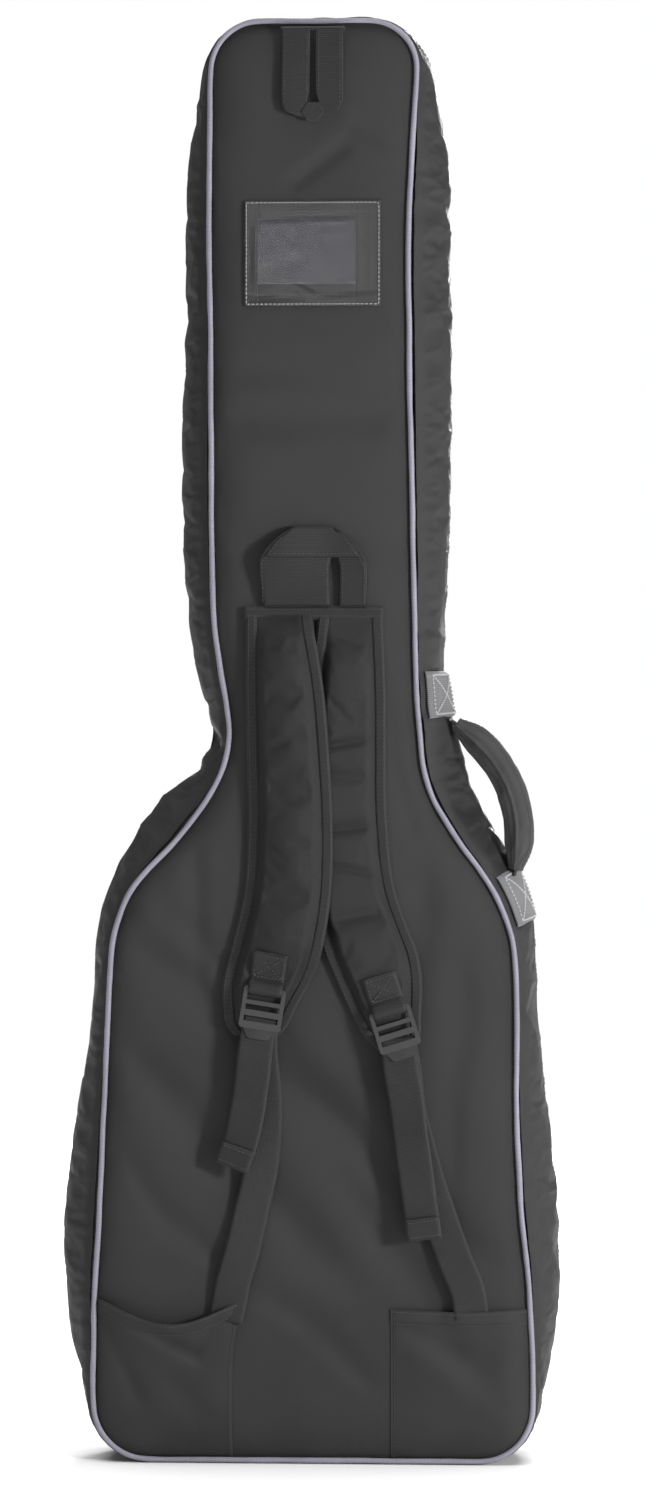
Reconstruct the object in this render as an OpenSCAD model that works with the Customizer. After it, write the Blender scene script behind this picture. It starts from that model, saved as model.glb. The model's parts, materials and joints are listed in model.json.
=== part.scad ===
// Padded gig bag for an electric bass, standing on its end, empty and closed.
// +Z runs to the headstock end, -Y is the strap side, +X is the carry-handle side.
// The origin is the middle of the base, on the surface that the bag stands on.

/* [Case] */
// Height of the bag
bag_h = 1200; // [1194:1:1212]
// Depth between the two piped edges
bag_d = 100; // [98:1:106]
// Radius of the two lower corners
base_r = 48; // [40:1:56]
// Radius of the two upper corners
head_r = 42; // [34:1:50]
// How far the padded panels swell out past the piping
crown = 7; // [5:0.5:7]
// Where the zip line lies, in front of mid-depth
zip_y = 22; // [20:1:24]

/* [Materials] */
// Outer fabric
fabric_t = 1.6; // [1:0.2:2]
// Foam in the front and back panels
panel_foam_t = 10; // [8:1:12]
// Foam in the side wall
wall_foam_t = 7; // [5:1:8]
// Lining
lining_t = 1; // [0.8:0.1:1.4]
// Piping cord diameter
piping_dia = 6; // [5:0.2:6]
// Webbing width
web_w = 29; // [26:1:30]
// Webbing thickness
web_t = 2; // [1.6:0.2:2.2]

/* [Straps] */
// Padded strap thickness
pad_t = 11; // [9:0.5:11]
// Height of the seam where the straps and the grab handle start
seam_z = 707; // [705:1:709]
// Outer width of a ladder lock
lock_w = 35; // [34:0.5:37]
// Length of a ladder lock without its lever
lock_l = 35; // [34:0.5:37]

/* [Side handle] */
// Thickness of the grip seen from the back
grip_w = 25; // [22:1:26]
// Thickness of the grip seen from the side
grip_d = 28; // [24:1:30]
// How far the grip bows out from the line between its ends
grip_bow = 23; // [22:1:26]

/* [Front pockets] */
// How far the body pocket stands out of the front panel
pocket_d = 23; // [20:0.5:23]
// Thickness of the flat neck pocket
neck_pocket_d = 5; // [4:0.5:8]

/* [Hidden] */

black = [0.09, 0.09, 0.1];
soft_black = [0.14, 0.14, 0.15];
lavender = [0.62, 0.6, 0.68];
grey = [0.6, 0.6, 0.62];
charcoal = [0.25, 0.25, 0.27];
gap = 0.3;
half_d = bag_d / 2;
piping_r = piping_dia / 2;
panel_inset = piping_dia + gap;
panel_in_y = half_d - panel_foam_t - fabric_t - lining_t;
wall_y = half_d - piping_r - gap;
tape_w = 7;
coil_w = 2.6;
back_y = -half_d - crown;
strap_y = back_y - 0.6;

// --- the outline: a smooth curve through [height, value] stations ---
function slope(t, i) =
    let (a = max(i - 1, 0), b = min(i + 1, len(t) - 1))
    (t[b][1] - t[a][1]) / (t[b][0] - t[a][0]);
function curve(t, z) =
    z <= t[0][0] ? t[0][1] :
    z >= t[len(t) - 1][0] ? t[len(t) - 1][1] :
    let (
        i = max([for (k = [0 : len(t) - 2]) if (t[k][0] <= z) k]),
        h = t[i + 1][0] - t[i][0],
        u = (z - t[i][0]) / h
    )
    (2 * u^3 - 3 * u^2 + 1) * t[i][1] + (u^3 - 2 * u^2 + u) * h * slope(t, i)
    + (3 * u^2 - 2 * u^3) * t[i + 1][1] + (u^3 - u^2) * h * slope(t, i + 1);

// half width of the outline on the handle side and on the other side
handle_side = [
    [0, 187], [130, 184], [210, 176.5], [300, 172.5], [400, 172], [440, 168], [480, 151],
    [522, 121.5], [564, 98.5], [605, 92.5], [650, 89.3], [770, 86.2], [960, 83], [1040, 83],
    [1140, 89], [bag_h, 89]
];
zip_side = [
    [0, 185], [130, 184.5], [210, 180], [300, 176], [400, 171], [440, 167], [480, 151],
    [522, 113], [564, 83], [605, 71.5], [646, 77], [690, 83.5], [770, 86], [960, 87],
    [1040, 88.5], [1140, 87], [bag_h, 85]
];
// how far the soft side wall swells past that outline at mid-depth
handle_swell = [
    [0, 0], [48, 3], [100, 14], [190, 26.5], [300, 21], [400, 13], [520, 25], [590, 28],
    [660, 19], [760, 26], [960, 31], [1060, 27], [1150, 11], [bag_h, 0]
];
zip_swell = [
    [0, 0], [48, 5], [100, 16], [190, 23.5], [300, 19], [400, 13], [520, 20], [620, 17],
    [700, 22], [800, 25], [960, 21], [1060, 16], [1150, 8], [bag_h, 0]
];
function side_table(side) = side > 0 ? handle_side : zip_side;
function swell_at(side, z) = curve(side > 0 ? handle_swell : zip_swell, z);
function round_in(z, r) = z < r ? r - sqrt(r^2 - (r - z)^2) : 0;
function half_w(side, z) =
    curve(side_table(side), z) - round_in(z, base_r) - round_in(bag_h - z, head_r);

// heights at which the outline is sampled: closer at the corners and the waist
corner_steps = [0 : 18 : 90];
ROWS = concat(
    [for (a = corner_steps) base_r * (1 - cos(a))],
    [100, 150, 200, 250, 310, 370, 410, 435, 455, 475, 495, 515, 535, 555, 580, 605, 630, 660],
    [700, 760, 840, 940, 1030, 1095],
    [for (i = [5 : -1 : 0]) bag_h - head_r * (1 - cos(i * 18))]
);
last_row = len(ROWS) - 1;
RIM = concat(
    [for (z = ROWS) [half_w(1, z), z]],
    [for (i = [last_row : -1 : 0]) [-half_w(-1, ROWS[i]), ROWS[i]]]
);
rim_n = len(RIM);
function rim_out(i) =
    let (d = RIM[(i + 1) % rim_n] - RIM[(i + rim_n - 1) % rim_n])
    [d.y, -d.x] / norm(d);
RIM_OUT = [for (i = [0 : rim_n - 1]) rim_out(i)];
RIM_SWELL = [for (p = RIM) swell_at(sign(p.x), p.y)];

// share of the swell at a depth: none at the piped edges, all of it at mid-depth;
// it runs straight between stations, so every layer of the wall keeps the same facets
BOW_YS = [-half_d, -wall_y, -30, 4, zip_y - coil_w - tape_w, zip_y + coil_w + tape_w, 39, wall_y, half_d];
BOW = [for (y = BOW_YS) [y, abs(y) >= half_d ? 0 : cos(90 * y / half_d)^0.7]];
function bow(y) = lookup(y, BOW);
function rim(i, y, d) =
    let (o = RIM_SWELL[i] * bow(y) + d)
    [RIM[i].x + RIM_OUT[i].x * o, y, RIM[i].y + RIM_OUT[i].y * o];
// any point of the side wall, d proud of it
function flank(side, z, y, d) =
    let (
        dx = half_w(side, z + 1) - half_w(side, z - 1),
        n = [2, -dx] / norm([2, dx]),
        o = swell_at(side, z) * bow(y) + d
    )
    [side * (half_w(side, z) + n.x * o), y, z + n.y * o];

// --- shared solids ---
// closed skin over a run of loops with equal point counts
module skin(loops, closed = false) {
    n = len(loops);
    m = len(loops[0]);
    sides = [
        for (i = [0 : (closed ? n - 1 : n - 2)], j = [0 : m - 1])
            let (
                a = i * m + j,
                b = i * m + (j + 1) % m,
                c = ((i + 1) % n) * m + (j + 1) % m,
                d = ((i + 1) % n) * m + j
            )
            each [[a, b, c], [a, c, d]]
    ];
    last = (n - 1) * m;
    ends = closed ? [] : [
        for (k = [0 : m / 2 - 2]) each [
            [m - 1 - k, m - 2 - k, k + 1, k],
            [last + k, last + k + 1, last + m - 2 - k, last + m - 1 - k]
        ]
    ];
    polyhedron(points = [for (l = loops) each l], faces = concat(sides, ends));
}
function wall_loop(i, ys, d_out, d_in) =
    concat([for (y = ys) rim(i, y, d_out)], [for (k = [len(ys) - 1 : -1 : 0]) rim(i, ys[k], d_in)]);
// a band of the side wall, all the way round
module wall_band(ys, d_out, d_in) {
    skin([for (i = [0 : rim_n - 1]) wall_loop(i, ys, d_out, d_in)], closed = true);
}
// the same band, left open along the fold of the lid
first_zip = [for (i = [0 : last_row]) if (ROWS[i] > 400) i][0];
last_zip = [for (i = [0 : last_row]) if (ROWS[i] > base_r - 0.5) i][0];
zip_run = [for (k = [0 : rim_n - (first_zip - last_zip)]) (first_zip + k) % rim_n];
module zip_band(y0, y1, d_out, d_in) {
    skin([for (i = zip_run) wall_loop(i, [y0, y1], d_out, d_in)]);
}
module piping(y) {
    skin([for (i = [0 : rim_n - 1])
        [for (a = [0 : 60 : 300])
            rim(i, y, -piping_r) + piping_r * [cos(a) * RIM_OUT[i].x, sin(a), cos(a) * RIM_OUT[i].y]]
    ], closed = true);
}

// panels: side -1 is the back, +1 the front; s runs across from -1 to 1
ACROSS = [-1, -0.86, -0.5, 0, 0.5, 0.86, 1];
function ease(t) = t >= 1 ? 1 : sqrt(max(0, 1 - (1 - t)^2));
function panel_rise(s, z) = crown * (1 - s^4) * ease(z / 70) * ease((bag_h - z) / 70);
function panel_z(z) = panel_inset + z * (bag_h - 2 * panel_inset) / bag_h;
// the inset grows where the outline slants, so that the edge stays clear of the piping
function slant(side, z) = norm([2, half_w(side, z + 1) - half_w(side, z - 1)]) / 2;
function panel_x(s, z) =
    let (side = s < 0 ? -1 : 1)
    s * (half_w(side, z) - (panel_inset + 0.7) * min(1.5, slant(side, z)));
// the inner side is flat where flat_y is given, and else follows the outer one
function panel_row(z, face, d_out, flat_y) = concat(
    [for (s = ACROSS) [panel_x(s, z), face * (half_d + panel_rise(s, z) - d_out), panel_z(z)]],
    [for (k = [len(ACROSS) - 1 : -1 : 0])
        let (
            s = ACROSS[k],
            y = is_undef(flat_y) ? half_d + panel_rise(s, z) - fabric_t : flat_y
        )
        [panel_x(s, z), face * y, panel_z(z)]]
);
module panel_shell(face) { skin([for (z = ROWS) panel_row(z, face, 0)]); }
module panel_foam(face) {
    skin([for (z = ROWS) panel_row(z, face, fabric_t + 0.6, panel_in_y + lining_t + 0.2)]);
}
module panel_lining(face) {
    y = face > 0 ? panel_in_y : -panel_in_y - lining_t;
    translate([0, y + lining_t, 0]) rotate([90, 0, 0]) linear_extrude(lining_t)
        polygon([for (i = [0 : rim_n - 1]) RIM[i] - RIM_OUT[i] * panel_inset]);
}
// a flat prism lying in the XZ plane between two depths
module slab(y0, y1) {
    translate([0, max(y0, y1), 0]) rotate([90, 0, 0]) linear_extrude(abs(y1 - y0)) children();
}
// a strip on the strap side, from hand-placed rows [x left, x right, y inner, z]
module strip(rows, t) {
    skin([for (r = rows)
        [[r[0], r[2] - t, r[3]], [r[1], r[2] - t, r[3]], [r[1], r[2], r[3]], [r[0], r[2], r[3]]]]);
}

// --- base of the case ---
wall_ys = [-wall_y, -30, 4, zip_y - coil_w - tape_w];
wall_in_ys = [-panel_in_y + 0.6, -26, 4, zip_y - coil_w - tape_w];
module back_panel() { color(soft_black) panel_shell(-1); }
module back_foam() { color(charcoal) panel_foam(-1); }
module back_lining() { color(grey) panel_lining(-1); }
module gusset_shell() { color(black) wall_band(wall_ys, 0, -fabric_t); }
layer_gap = 1.5;
module gusset_foam() {
    color(charcoal) wall_band(wall_in_ys, -fabric_t - layer_gap, -fabric_t - wall_foam_t);
}
module gusset_lining() {
    inner = fabric_t + wall_foam_t + layer_gap;
    color(grey) wall_band(wall_in_ys, -inner, -inner - lining_t);
}
module back_piping() { color(lavender) piping(-half_d); }
module zip_tape_base() { color(black) zip_band(zip_y - coil_w - tape_w + 0.2, zip_y - coil_w, -1.1, -2.2); }
module zip_coil_base() { color(charcoal) zip_band(zip_y - coil_w + 0.1, zip_y - gap / 2, -0.5, -2.6); }

// the stretch of side wall that folds when the lid opens
fold_ys = [zip_y - coil_w - tape_w + 0.3, zip_y - gap];
fold_rows = [56, 84, 120, 160, 200, 250, 300, 350, 396];
module hinge_strip() {
    color(black) skin([for (z = fold_rows)
        [flank(1, z, fold_ys[0], -0.6), flank(1, z, fold_ys[1], -0.6),
         flank(1, z, fold_ys[1], -2.6), flank(1, z, fold_ys[0], -2.6)]]);
}

id_x = [-56, 58];
id_z = [960, 1048];
id_hole_x = [-44, 37];
id_hole_z = [979, 1033];
module id_pocket_frame() {
    color(black) slab(strap_y, strap_y - 1.4) difference() {
        translate([id_x[0], id_z[0]]) square([id_x[1] - id_x[0], id_z[1] - id_z[0]]);
        translate([id_hole_x[0], id_hole_z[0]])
            square([id_hole_x[1] - id_hole_x[0], id_hole_z[1] - id_hole_z[0]]);
    }
}
module id_window() {
    color([0.3, 0.3, 0.32, 0.6]) slab(strap_y - 1.6, strap_y - 2.2)
        translate([id_x[0] + 2, id_z[0] + 2]) square([id_x[1] - id_x[0] - 4, id_z[1] - id_z[0] - 4]);
}

// side handle anchors: the grip swings about the line between them
handle_y = -24;
grip_top = [116, 616];
grip_foot = [167.5, 489.5];
tab_ys = [-46, -38, -30, -15, 0];
module handle_tab(zs) {
    color(grey) skin([for (z = zs) concat(
        [for (y = tab_ys) flank(1, z, y, 1 + web_t)],
        [for (k = [len(tab_ys) - 1 : -1 : 0]) flank(1, z, tab_ys[k], 1)])]);
}
module handle_tab_upper() { handle_tab([617, 627, 637, 647, 657]); }
module handle_tab_lower() { handle_tab([444, 452, 460, 467, 474]); }

// stow pockets over the two lower corners; their mouths stand open at the top
pocket_top = 134;
function pocket_row(side, v, inner_x, mouth) =
    let (
        z = 14 + v * (pocket_top - 14),
        inner = inner_x - (side < 0 ? 14 * v^4 : 0),
        outer = half_w(side, z) - panel_inset - 3,
        off = function (u) 0.8 + mouth * sin(180 * u) * v^1.6,
        us = [0 : 0.125 : 1],
        at = function (u, t)
            let (x = inner + u * (outer - inner), s = x / (half_w(side, z) - panel_inset))
            [side * x, -half_d - panel_rise(s, z) - off(u) - t, z]
    )
    concat([for (u = us) at(u, fabric_t)], [for (u = us) at(1 - u, 0)]);
pocket_vs = [0, 0.2, 0.4, 0.6, 0.8, 0.92, 1];
pocket_inner_x = 66;
module corner_pocket_left() {
    color(black) skin([for (v = pocket_vs) pocket_row(-1, v, pocket_inner_x, 15)]);
}
module corner_pocket_right() {
    color(black) skin([for (v = pocket_vs) pocket_row(1, v, pocket_inner_x, 10)]);
}

// webbing that runs down from each buckle to the mouth of a stow pocket
// rows: [x left, x right, y of the inner face, z]
lower_left_rows = [
    [-56, -28, strap_y - 8, 343], [-54, -26, strap_y - 5, 320], [-52, -25, strap_y - 2.5, 290],
    [-55, -27, strap_y - 1.5, 250], [-64, -35, strap_y - 2, 210], [-73, -44, strap_y - 4, 172],
    [-80, -51, strap_y - 3, 148], [-82, -53, strap_y - 2.5, 137]
];
lower_right_rows = [
    [63, 92, strap_y - 8, 328], [66, 95, strap_y - 5, 300], [76, 104, strap_y - 2, 260],
    [90, 118, strap_y - 1, 214], [106, 133, strap_y - 2, 170], [116, 145, strap_y - 1.5, 142],
    [119, 147, strap_y - 0.4, 122]
];
module lower_web_left() { color(black) strip(lower_left_rows, web_t); }
module lower_web_right() { color(black) strip(lower_right_rows, web_t); }
module strap_seam_tape() {
    color(black) slab(strap_y, strap_y - 1.2) translate([-56, seam_z - 0.9]) square([116, 1.5]);
}

// inside: the rest under the neck and the bumper under the body
module neck_cradle() {
    color(charcoal) difference() {
        translate([-54, -panel_in_y + 0.3, 800]) cube([108, 28, 50]);
        translate([0, 16, 790]) cylinder(r = 34, h = 70, $fn = 64);
    }
}
module tail_bumper() {
    color(charcoal) translate([-90, -panel_in_y + 0.3, 13]) cube([180, 42, 22]);
}

// --- lid ---
module front_panel() { color(soft_black) panel_shell(1); }
module front_foam() { color(charcoal) panel_foam(1); }
module front_lining() { color(grey) panel_lining(1); }
lid_wall_y = zip_y + coil_w + tape_w;
module lid_gusset_shell() { color(black) wall_band([lid_wall_y, 39, wall_y], 0, -fabric_t); }
module lid_gusset_lining() {
    color(grey) wall_band([lid_wall_y, panel_in_y - 0.6], -fabric_t - layer_gap, -fabric_t - layer_gap - 2);
}
module front_piping() { color(lavender) piping(half_d); }
module zip_tape_lid() { color(black) zip_band(zip_y + coil_w, lid_wall_y - 0.2, -1.1, -2.2); }
module zip_coil_lid() { color(charcoal) zip_band(zip_y + gap / 2, zip_y + coil_w - 0.1, -0.5, -2.6); }

front_y = half_d + crown + gap;
pocket_out_y = half_d + crown + pocket_d;
// outline of the body pocket, set in from the lower bout
pocket_zs = [40, 60, 90, 150, 220, 300, 360, 392];
pocket_in = 46;
function pocket_point(side, k, inset) =
    let (z = pocket_zs[k])
    [side * (half_w(side, z) - pocket_in - inset - round_in(z - pocket_zs[0], 24)),
     z + (k == 0 ? inset : k == 7 ? -inset : 0)];
function pocket_edge(inset) = concat(
    [for (k = [0 : 7]) pocket_point(1, k, inset)],
    [for (k = [7 : -1 : 0]) pocket_point(-1, k, inset)]
);
module body_pocket_gusset() {
    color(black) slab(front_y, pocket_out_y - fabric_t - 0.2) difference() {
        polygon(pocket_edge(0));
        polygon(pocket_edge(3));
    }
}
module body_pocket_panel() {
    color(soft_black) slab(pocket_out_y - fabric_t, pocket_out_y) polygon(pocket_edge(0));
}
pocket_zip_z = 392.3;
module body_pocket_zip() {
    color(charcoal) slab(front_y + 5, front_y + 15) translate([-118, pocket_zip_z]) square([236, 1.4]);
}
neck_pocket_z = [700, 1090];
module neck_pocket_panel() {
    color(soft_black) slab(front_y, front_y + neck_pocket_d)
        translate([-56, neck_pocket_z[0]]) square([112, neck_pocket_z[1] - neck_pocket_z[0]]);
}
neck_zip_x = 46;
module neck_pocket_zip() {
    run = neck_pocket_z[1] - neck_pocket_z[0] - 40;
    color(charcoal) slab(front_y + neck_pocket_d + 0.2, front_y + neck_pocket_d + 1.4)
        translate([neck_zip_x - 5, neck_pocket_z[0] + 20]) square([10, run]);
}

// --- zip sliders and pulls, drawn flat: the face is +Z, the run is +X ---
pin_z = 4.2;
pin_r = 0.7;
lug_w = 2.4;
pull_l = 30;
module slider_body() {
    linear_extrude(2.4) polygon([[-7, -2.6], [-3, -4.5], [7, -3.6], [7, 3.6], [-3, 4.5], [-7, 2.6]]);
    translate([0, lug_w / 2, 0]) rotate([90, 0, 0]) difference() {
        linear_extrude(lug_w) polygon([[-2.6, 2.3], [-1.5, 5.6], [1.5, 5.6], [2.6, 2.3]]);
        translate([0, pin_z, -1]) cylinder(r = pin_r + 0.2, h = lug_w + 2, $fn = 24);
    }
}
// the pull's fork straddles the lug, with its pin through it; it lies along -X
module pull_body() {
    fork = lug_w / 2 + 0.4;
    translate([0, 0, pin_z - 0.8]) linear_extrude(1.6) difference() {
        hull() {
            translate([-1, -fork - 1.5]) square([1.8, 2 * fork + 3]);
            translate([3.6 - pull_l, 0]) circle(r = 3.6, $fn = 32);
        }
        translate([-4.5, -fork]) square([6, 2 * fork]);
        translate([3.6 - pull_l, 0]) circle(r = 1.6, $fn = 24);
    }
    translate([0, fork + 0.5, pin_z]) rotate([90, 0, 0]) cylinder(r = pin_r, h = 2 * fork + 1, $fn = 24);
}
// a main slider sits on the zip on the side away from the handle; dir 1 runs up, -1 down
function zip_at(z) = flank(-1, z, zip_y, 0.3);
zip_rest = [912, 868];
zip_far = [1036, 784];
module on_zip(k) {
    a = zip_at(zip_rest[k]);
    b = zip_at(zip_far[k]);
    run = (b - a) / norm(b - a);
    out = [-abs(run.z), 0, sign(run.z) * run.x];
    side = cross(out, run);
    multmatrix([
        [run.x, side.x, out.x, a.x],
        [run.y, side.y, out.y, a.y],
        [run.z, side.z, out.z, a.z]
    ]) children();
}
module main_slider(k) { color(charcoal) on_zip(k) translate([0, 0, 0.6]) slider_body(); }
module main_pull(k) {
    color(charcoal) on_zip(k) translate([0, 0, 0.6]) rotate([0, 0, k == 0 ? 0 : 180]) pull_body();
}
module zip_slider_upper() { main_slider(0); }
module zip_pull_upper() { main_pull(0); }
module zip_slider_lower() { main_slider(1); }
module zip_pull_lower() { main_pull(1); }
// pocket zips: the body pocket's runs along its top edge, the neck pocket's down its front
body_slider_x = -96;
module body_pocket_slider() {
    color(charcoal) translate([body_slider_x, front_y + 10, pocket_zip_z + 1.8]) slider_body();
}
module body_pocket_pull() {
    color(charcoal) translate([body_slider_x, front_y + 10, pocket_zip_z + 1.8]) pull_body();
}
neck_slider_z = 1050;
neck_zip_y = front_y + neck_pocket_d + 1.8;
module neck_pocket_slider() {
    color(charcoal) translate([neck_zip_x, neck_zip_y, neck_slider_z])
        rotate([0, -90, -90]) slider_body();
}
module neck_pocket_pull() {
    color(charcoal) translate([neck_zip_x, neck_zip_y, neck_slider_z])
        rotate([0, -90, -90]) pull_body();
}

// --- side carry handle ---
grip_dir = (grip_foot - grip_top) / norm(grip_foot - grip_top);
grip_out = [-grip_dir.y, grip_dir.x];
grip_chord = norm(grip_foot - grip_top);
// a point on the handle's bowed line; u runs from the top anchor to the foot
function grip_line(u) = grip_top + grip_dir * grip_chord * u + grip_out * grip_bow * (1 - (2 * u - 1)^2);
function grip_ring(u, w, d) =
    let (
        run = grip_line(u + 0.01) - grip_line(u - 0.01),
        side = [-run.y, run.x] / norm(run),
        c = grip_line(u)
    )
    [for (a = [0 : 30 : 330])
        [c.x + side.x * cos(a) * w / 2, handle_y - sin(a) * d / 2, c.y + side.y * cos(a) * w / 2]];
// the grip tapers to a flat end where it is sewn to its tab
function grip_full(u) = ease(min(u - 0.03, 0.97 - u) / 0.17);
module side_handle_grip() {
    us = [0.035, 0.07, 0.11, 0.16, 0.22, 0.3, 0.38, 0.46, 0.54, 0.62, 0.7, 0.78, 0.84, 0.89, 0.93, 0.965];
    color(soft_black) skin([for (u = us)
        grip_ring(u, grip_w * (0.36 + 0.64 * grip_full(u)), grip_d * (0.62 + 0.38 * grip_full(u)))]);
}
module side_handle_webbing() {
    color(black) {
        skin([for (u = [0.003, 0.018, 0.033]) grip_ring(u, 3.4, 16)]);
        skin([for (u = [0.967, 0.982, 0.997]) grip_ring(u, 3.4, 16)]);
    }
}

// --- grab handle and hang loop, flat on the back ---
module grab_handle() {
    color(black) slab(strap_y, strap_y - 3.4) difference() {
        polygon([[-38, seam_z + 5], [-42, 738], [-43, 750], [-36, 762], [-24, 772], [-12, 778], [14, 778],
            [27, 773], [38, 763], [46, 752], [47, 740], [46, seam_z + 5]]);
        polygon([[17, seam_z + 8], [15.6, 750], [23.4, 750], [22, seam_z + 8]]);
    }
}
loop_z = [1116, 1190];
module hang_loop() {
    color(black) slab(strap_y, strap_y - 2.4) difference() {
        polygon([[-25, loop_z[1]], [-25, 1126], [-22, 1119], [-15, loop_z[0]], [17, loop_z[0]], [24, 1119],
            [27, 1126], [27, loop_z[1]]]);
        translate([-1.4, 1132]) square([4.8, loop_z[1] - 1132 - 5]);
        translate([1, 1131]) circle(r = 4, $fn = 32);
    }
}

// --- shoulder straps ---
// [height, x] stations of the left and right edges of each strap
left_pad_l = [
    [356, -64], [364, -70], [380, -73], [399, -73.5], [428, -66.5],
    [471, -56.5], [530, -52.5], [640, -54], [706, -54]
];
left_pad_r = [
    [356, -27], [364, -20], [380, -12], [400, -1], [424, 8.6],
    [471, 16.6], [530, 18.3], [640, 11], [706, 0]
];
right_pad_l = [
    [344, 56], [352, 47], [373, 34], [400, 21.5], [424, 11.4],
    [471, -2.5], [530, -7], [640, -1], [706, 6.5]
];
right_pad_r = [
    [344, 84], [352, 89], [379, 91], [414, 90.8], [443, 81],
    [471, 71], [530, 63], [640, 61.5], [706, 59]
];
function smooth(t) = let (u = min(1, max(0, t))) u * u * (3 - 2 * u);
// the left strap lies over the right one, so its inner edge is lifted where they cross
function left_lift(s, z) =
    (pad_t + 0.8) * smooth((s + 1) / 1.25) * smooth((z - 400) / 36) * smooth((seam_z - z) / 22);
// a strap is thin where it is sewn into the seam
function pad_thick(z) = 2.6 + (pad_t - 2.6) * smooth((seam_z - z) / 45);
PAD_ACROSS = [-1, -0.8, 0, 0.4, 0.8, 1];
function pad_row(el, er, z, lift) =
    let (
        a = curve(el, z),
        b = curve(er, z),
        at = function (s) (a + b) / 2 + s * (b - a) / 2,
        y = function (s) strap_y - (lift ? left_lift(s, z) : 0),
        edge = function (s) abs(s) == 1 ? 0.7 : 1
    )
    concat(
        [for (s = PAD_ACROSS) [at(s), y(s) - pad_thick(z) * edge(s), z]],
        [for (k = [5 : -1 : 0]) let (s = PAD_ACROSS[k]) [at(s), y(s) - (1 - edge(s)) * pad_thick(z), z]]
    );
left_pad_zs = [356, 364, 380, 400, 412, 426, 440, 471, 530, 590, 640, 675, 692, seam_z - 2];
right_pad_zs = [344, 352, 373, 400, 424, 443, 471, 530, 590, 640, 675, 692, seam_z - 2];
module strap_pad_left() {
    color(soft_black) skin([for (z = left_pad_zs) pad_row(left_pad_l, left_pad_r, z, true)]);
}
module strap_pad_right() {
    color(soft_black) skin([for (z = right_pad_zs) pad_row(right_pad_l, right_pad_r, z, false)]);
}
// bound edges: a thin bead along both sides of each strap
module bead(edge, s, lift, zs) {
    color(black) skin([for (z = zs)
        let (
            x0 = curve(edge, z) + (s > 0 ? 0.3 : -1.9),
            x1 = x0 + 1.6,
            y = strap_y - (lift ? left_lift(s, z) : 0) - pad_thick(z) / 2
        )
        [[x0, y - 1.2, z], [x1, y - 1.2, z], [x1, y + 1.2, z], [x0, y + 1.2, z]]]);
}
module strap_binding_left() {
    zs = [for (z = left_pad_zs) if (z > 363) z];
    bead(left_pad_l, -1, true, zs);
    bead(left_pad_r, 1, true, zs);
}
module strap_binding_right() {
    zs = [for (z = right_pad_zs) if (z > 351) z];
    bead(right_pad_l, -1, false, zs);
    bead(right_pad_r, 1, false, zs);
}

// hardware frame of a strap: origin at the middle of the lock's top bar, +X across, -Y down the strap
lock_left = [-37, 396];
lock_right = [65, 379];
lean_left = -9;
lean_right = 17;
lock_y = strap_y - pad_t - 1;
module at_lock(p, lean) {
    translate([p.x, lock_y, p.y]) rotate([90, 0, 0]) rotate([0, 0, lean]) children();
}
// X-stitched webbing tab on the strap, which holds the top bar
function left_lift_at(x, z) =
    let (a = curve(left_pad_l, z), b = curve(left_pad_r, z), s = (2 * x - a - b) / (b - a))
    left_lift(max(-1, min(1, s)), z);
module strap_tab(p, lean, lift) {
    half = web_w / 2;
    at = function (u, v, d) let (
            x = p.x + u * cos(lean) - v * sin(lean),
            z = p.y + u * sin(lean) + v * cos(lean)
        )
        [x, strap_y - pad_t - (lift ? left_lift_at(x, z) + 0.8 : 0) - 0.6 - d, z];
    color(black) skin([for (v = [2.5, 9, 16, 22, 28.5]) [
        for (u = [-half, -half / 3, half / 3, half]) at(u, v, web_t),
        for (u = [half, half / 3, -half / 3, -half]) at(u, v, 0)
    ]]);
}
module strap_tab_left() { strap_tab(lock_left, lean_left, true); }
module strap_tab_right() { strap_tab(lock_right, lean_right, false); }
lock_t = 3.6;
slot_w = web_w - 0.6;
module ladder_lock() {
    color(black) {
        linear_extrude(lock_t) difference() {
            hull() for (x = [-1, 1], y = [0, 1])
                translate([x * (lock_w / 2 - 3), -3 - y * (lock_l - 6)]) circle(r = 3, $fn = 32);
            translate([-slot_w / 2, -11.5]) square([slot_w, 7.5]);
            translate([-slot_w / 2, -19.5]) square([slot_w, 4.5]);
            translate([-slot_w / 2, -29]) square([slot_w, 4.5]);
        }
        // lever lip that lets the webbing slip when it is lifted
        translate([0, -lock_l + 0.5, 0.6]) rotate([-16, 0, 0]) linear_extrude(2.6) hull() {
            translate([-lock_w / 2 + 4, -1]) square([lock_w - 8, 1]);
            translate([-6, -5]) circle(r = 4.5, $fn = 32);
            translate([6, -5]) circle(r = 4.5, $fn = 32);
        }
    }
}
module ladder_lock_left() { at_lock(lock_left, lean_left) ladder_lock(); }
module ladder_lock_right() { at_lock(lock_right, lean_right) ladder_lock(); }

// free ends of the webbing below the locks; rows as for the lower webbing
tail_left_rows = [
    [-59, -31, lock_y - 1, 349], [-62, -34, lock_y - 1, 322], [-66, -38, lock_y - 0.4, 295],
    [-72, -44, lock_y + 0.8, 268], [-79, -52, lock_y + 2, 247]
];
tail_right_rows = [
    [60, 89, lock_y - 1, 332], [64, 93, lock_y - 1, 308], [69, 98, lock_y, 270],
    [74, 104, lock_y + 1.5, 230], [79, 110, lock_y + 2.5, 188]
];
module web_tail_left() { color(black) strip(tail_left_rows, web_t); }
module web_tail_right() { color(black) strip(tail_right_rows, web_t); }

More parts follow.
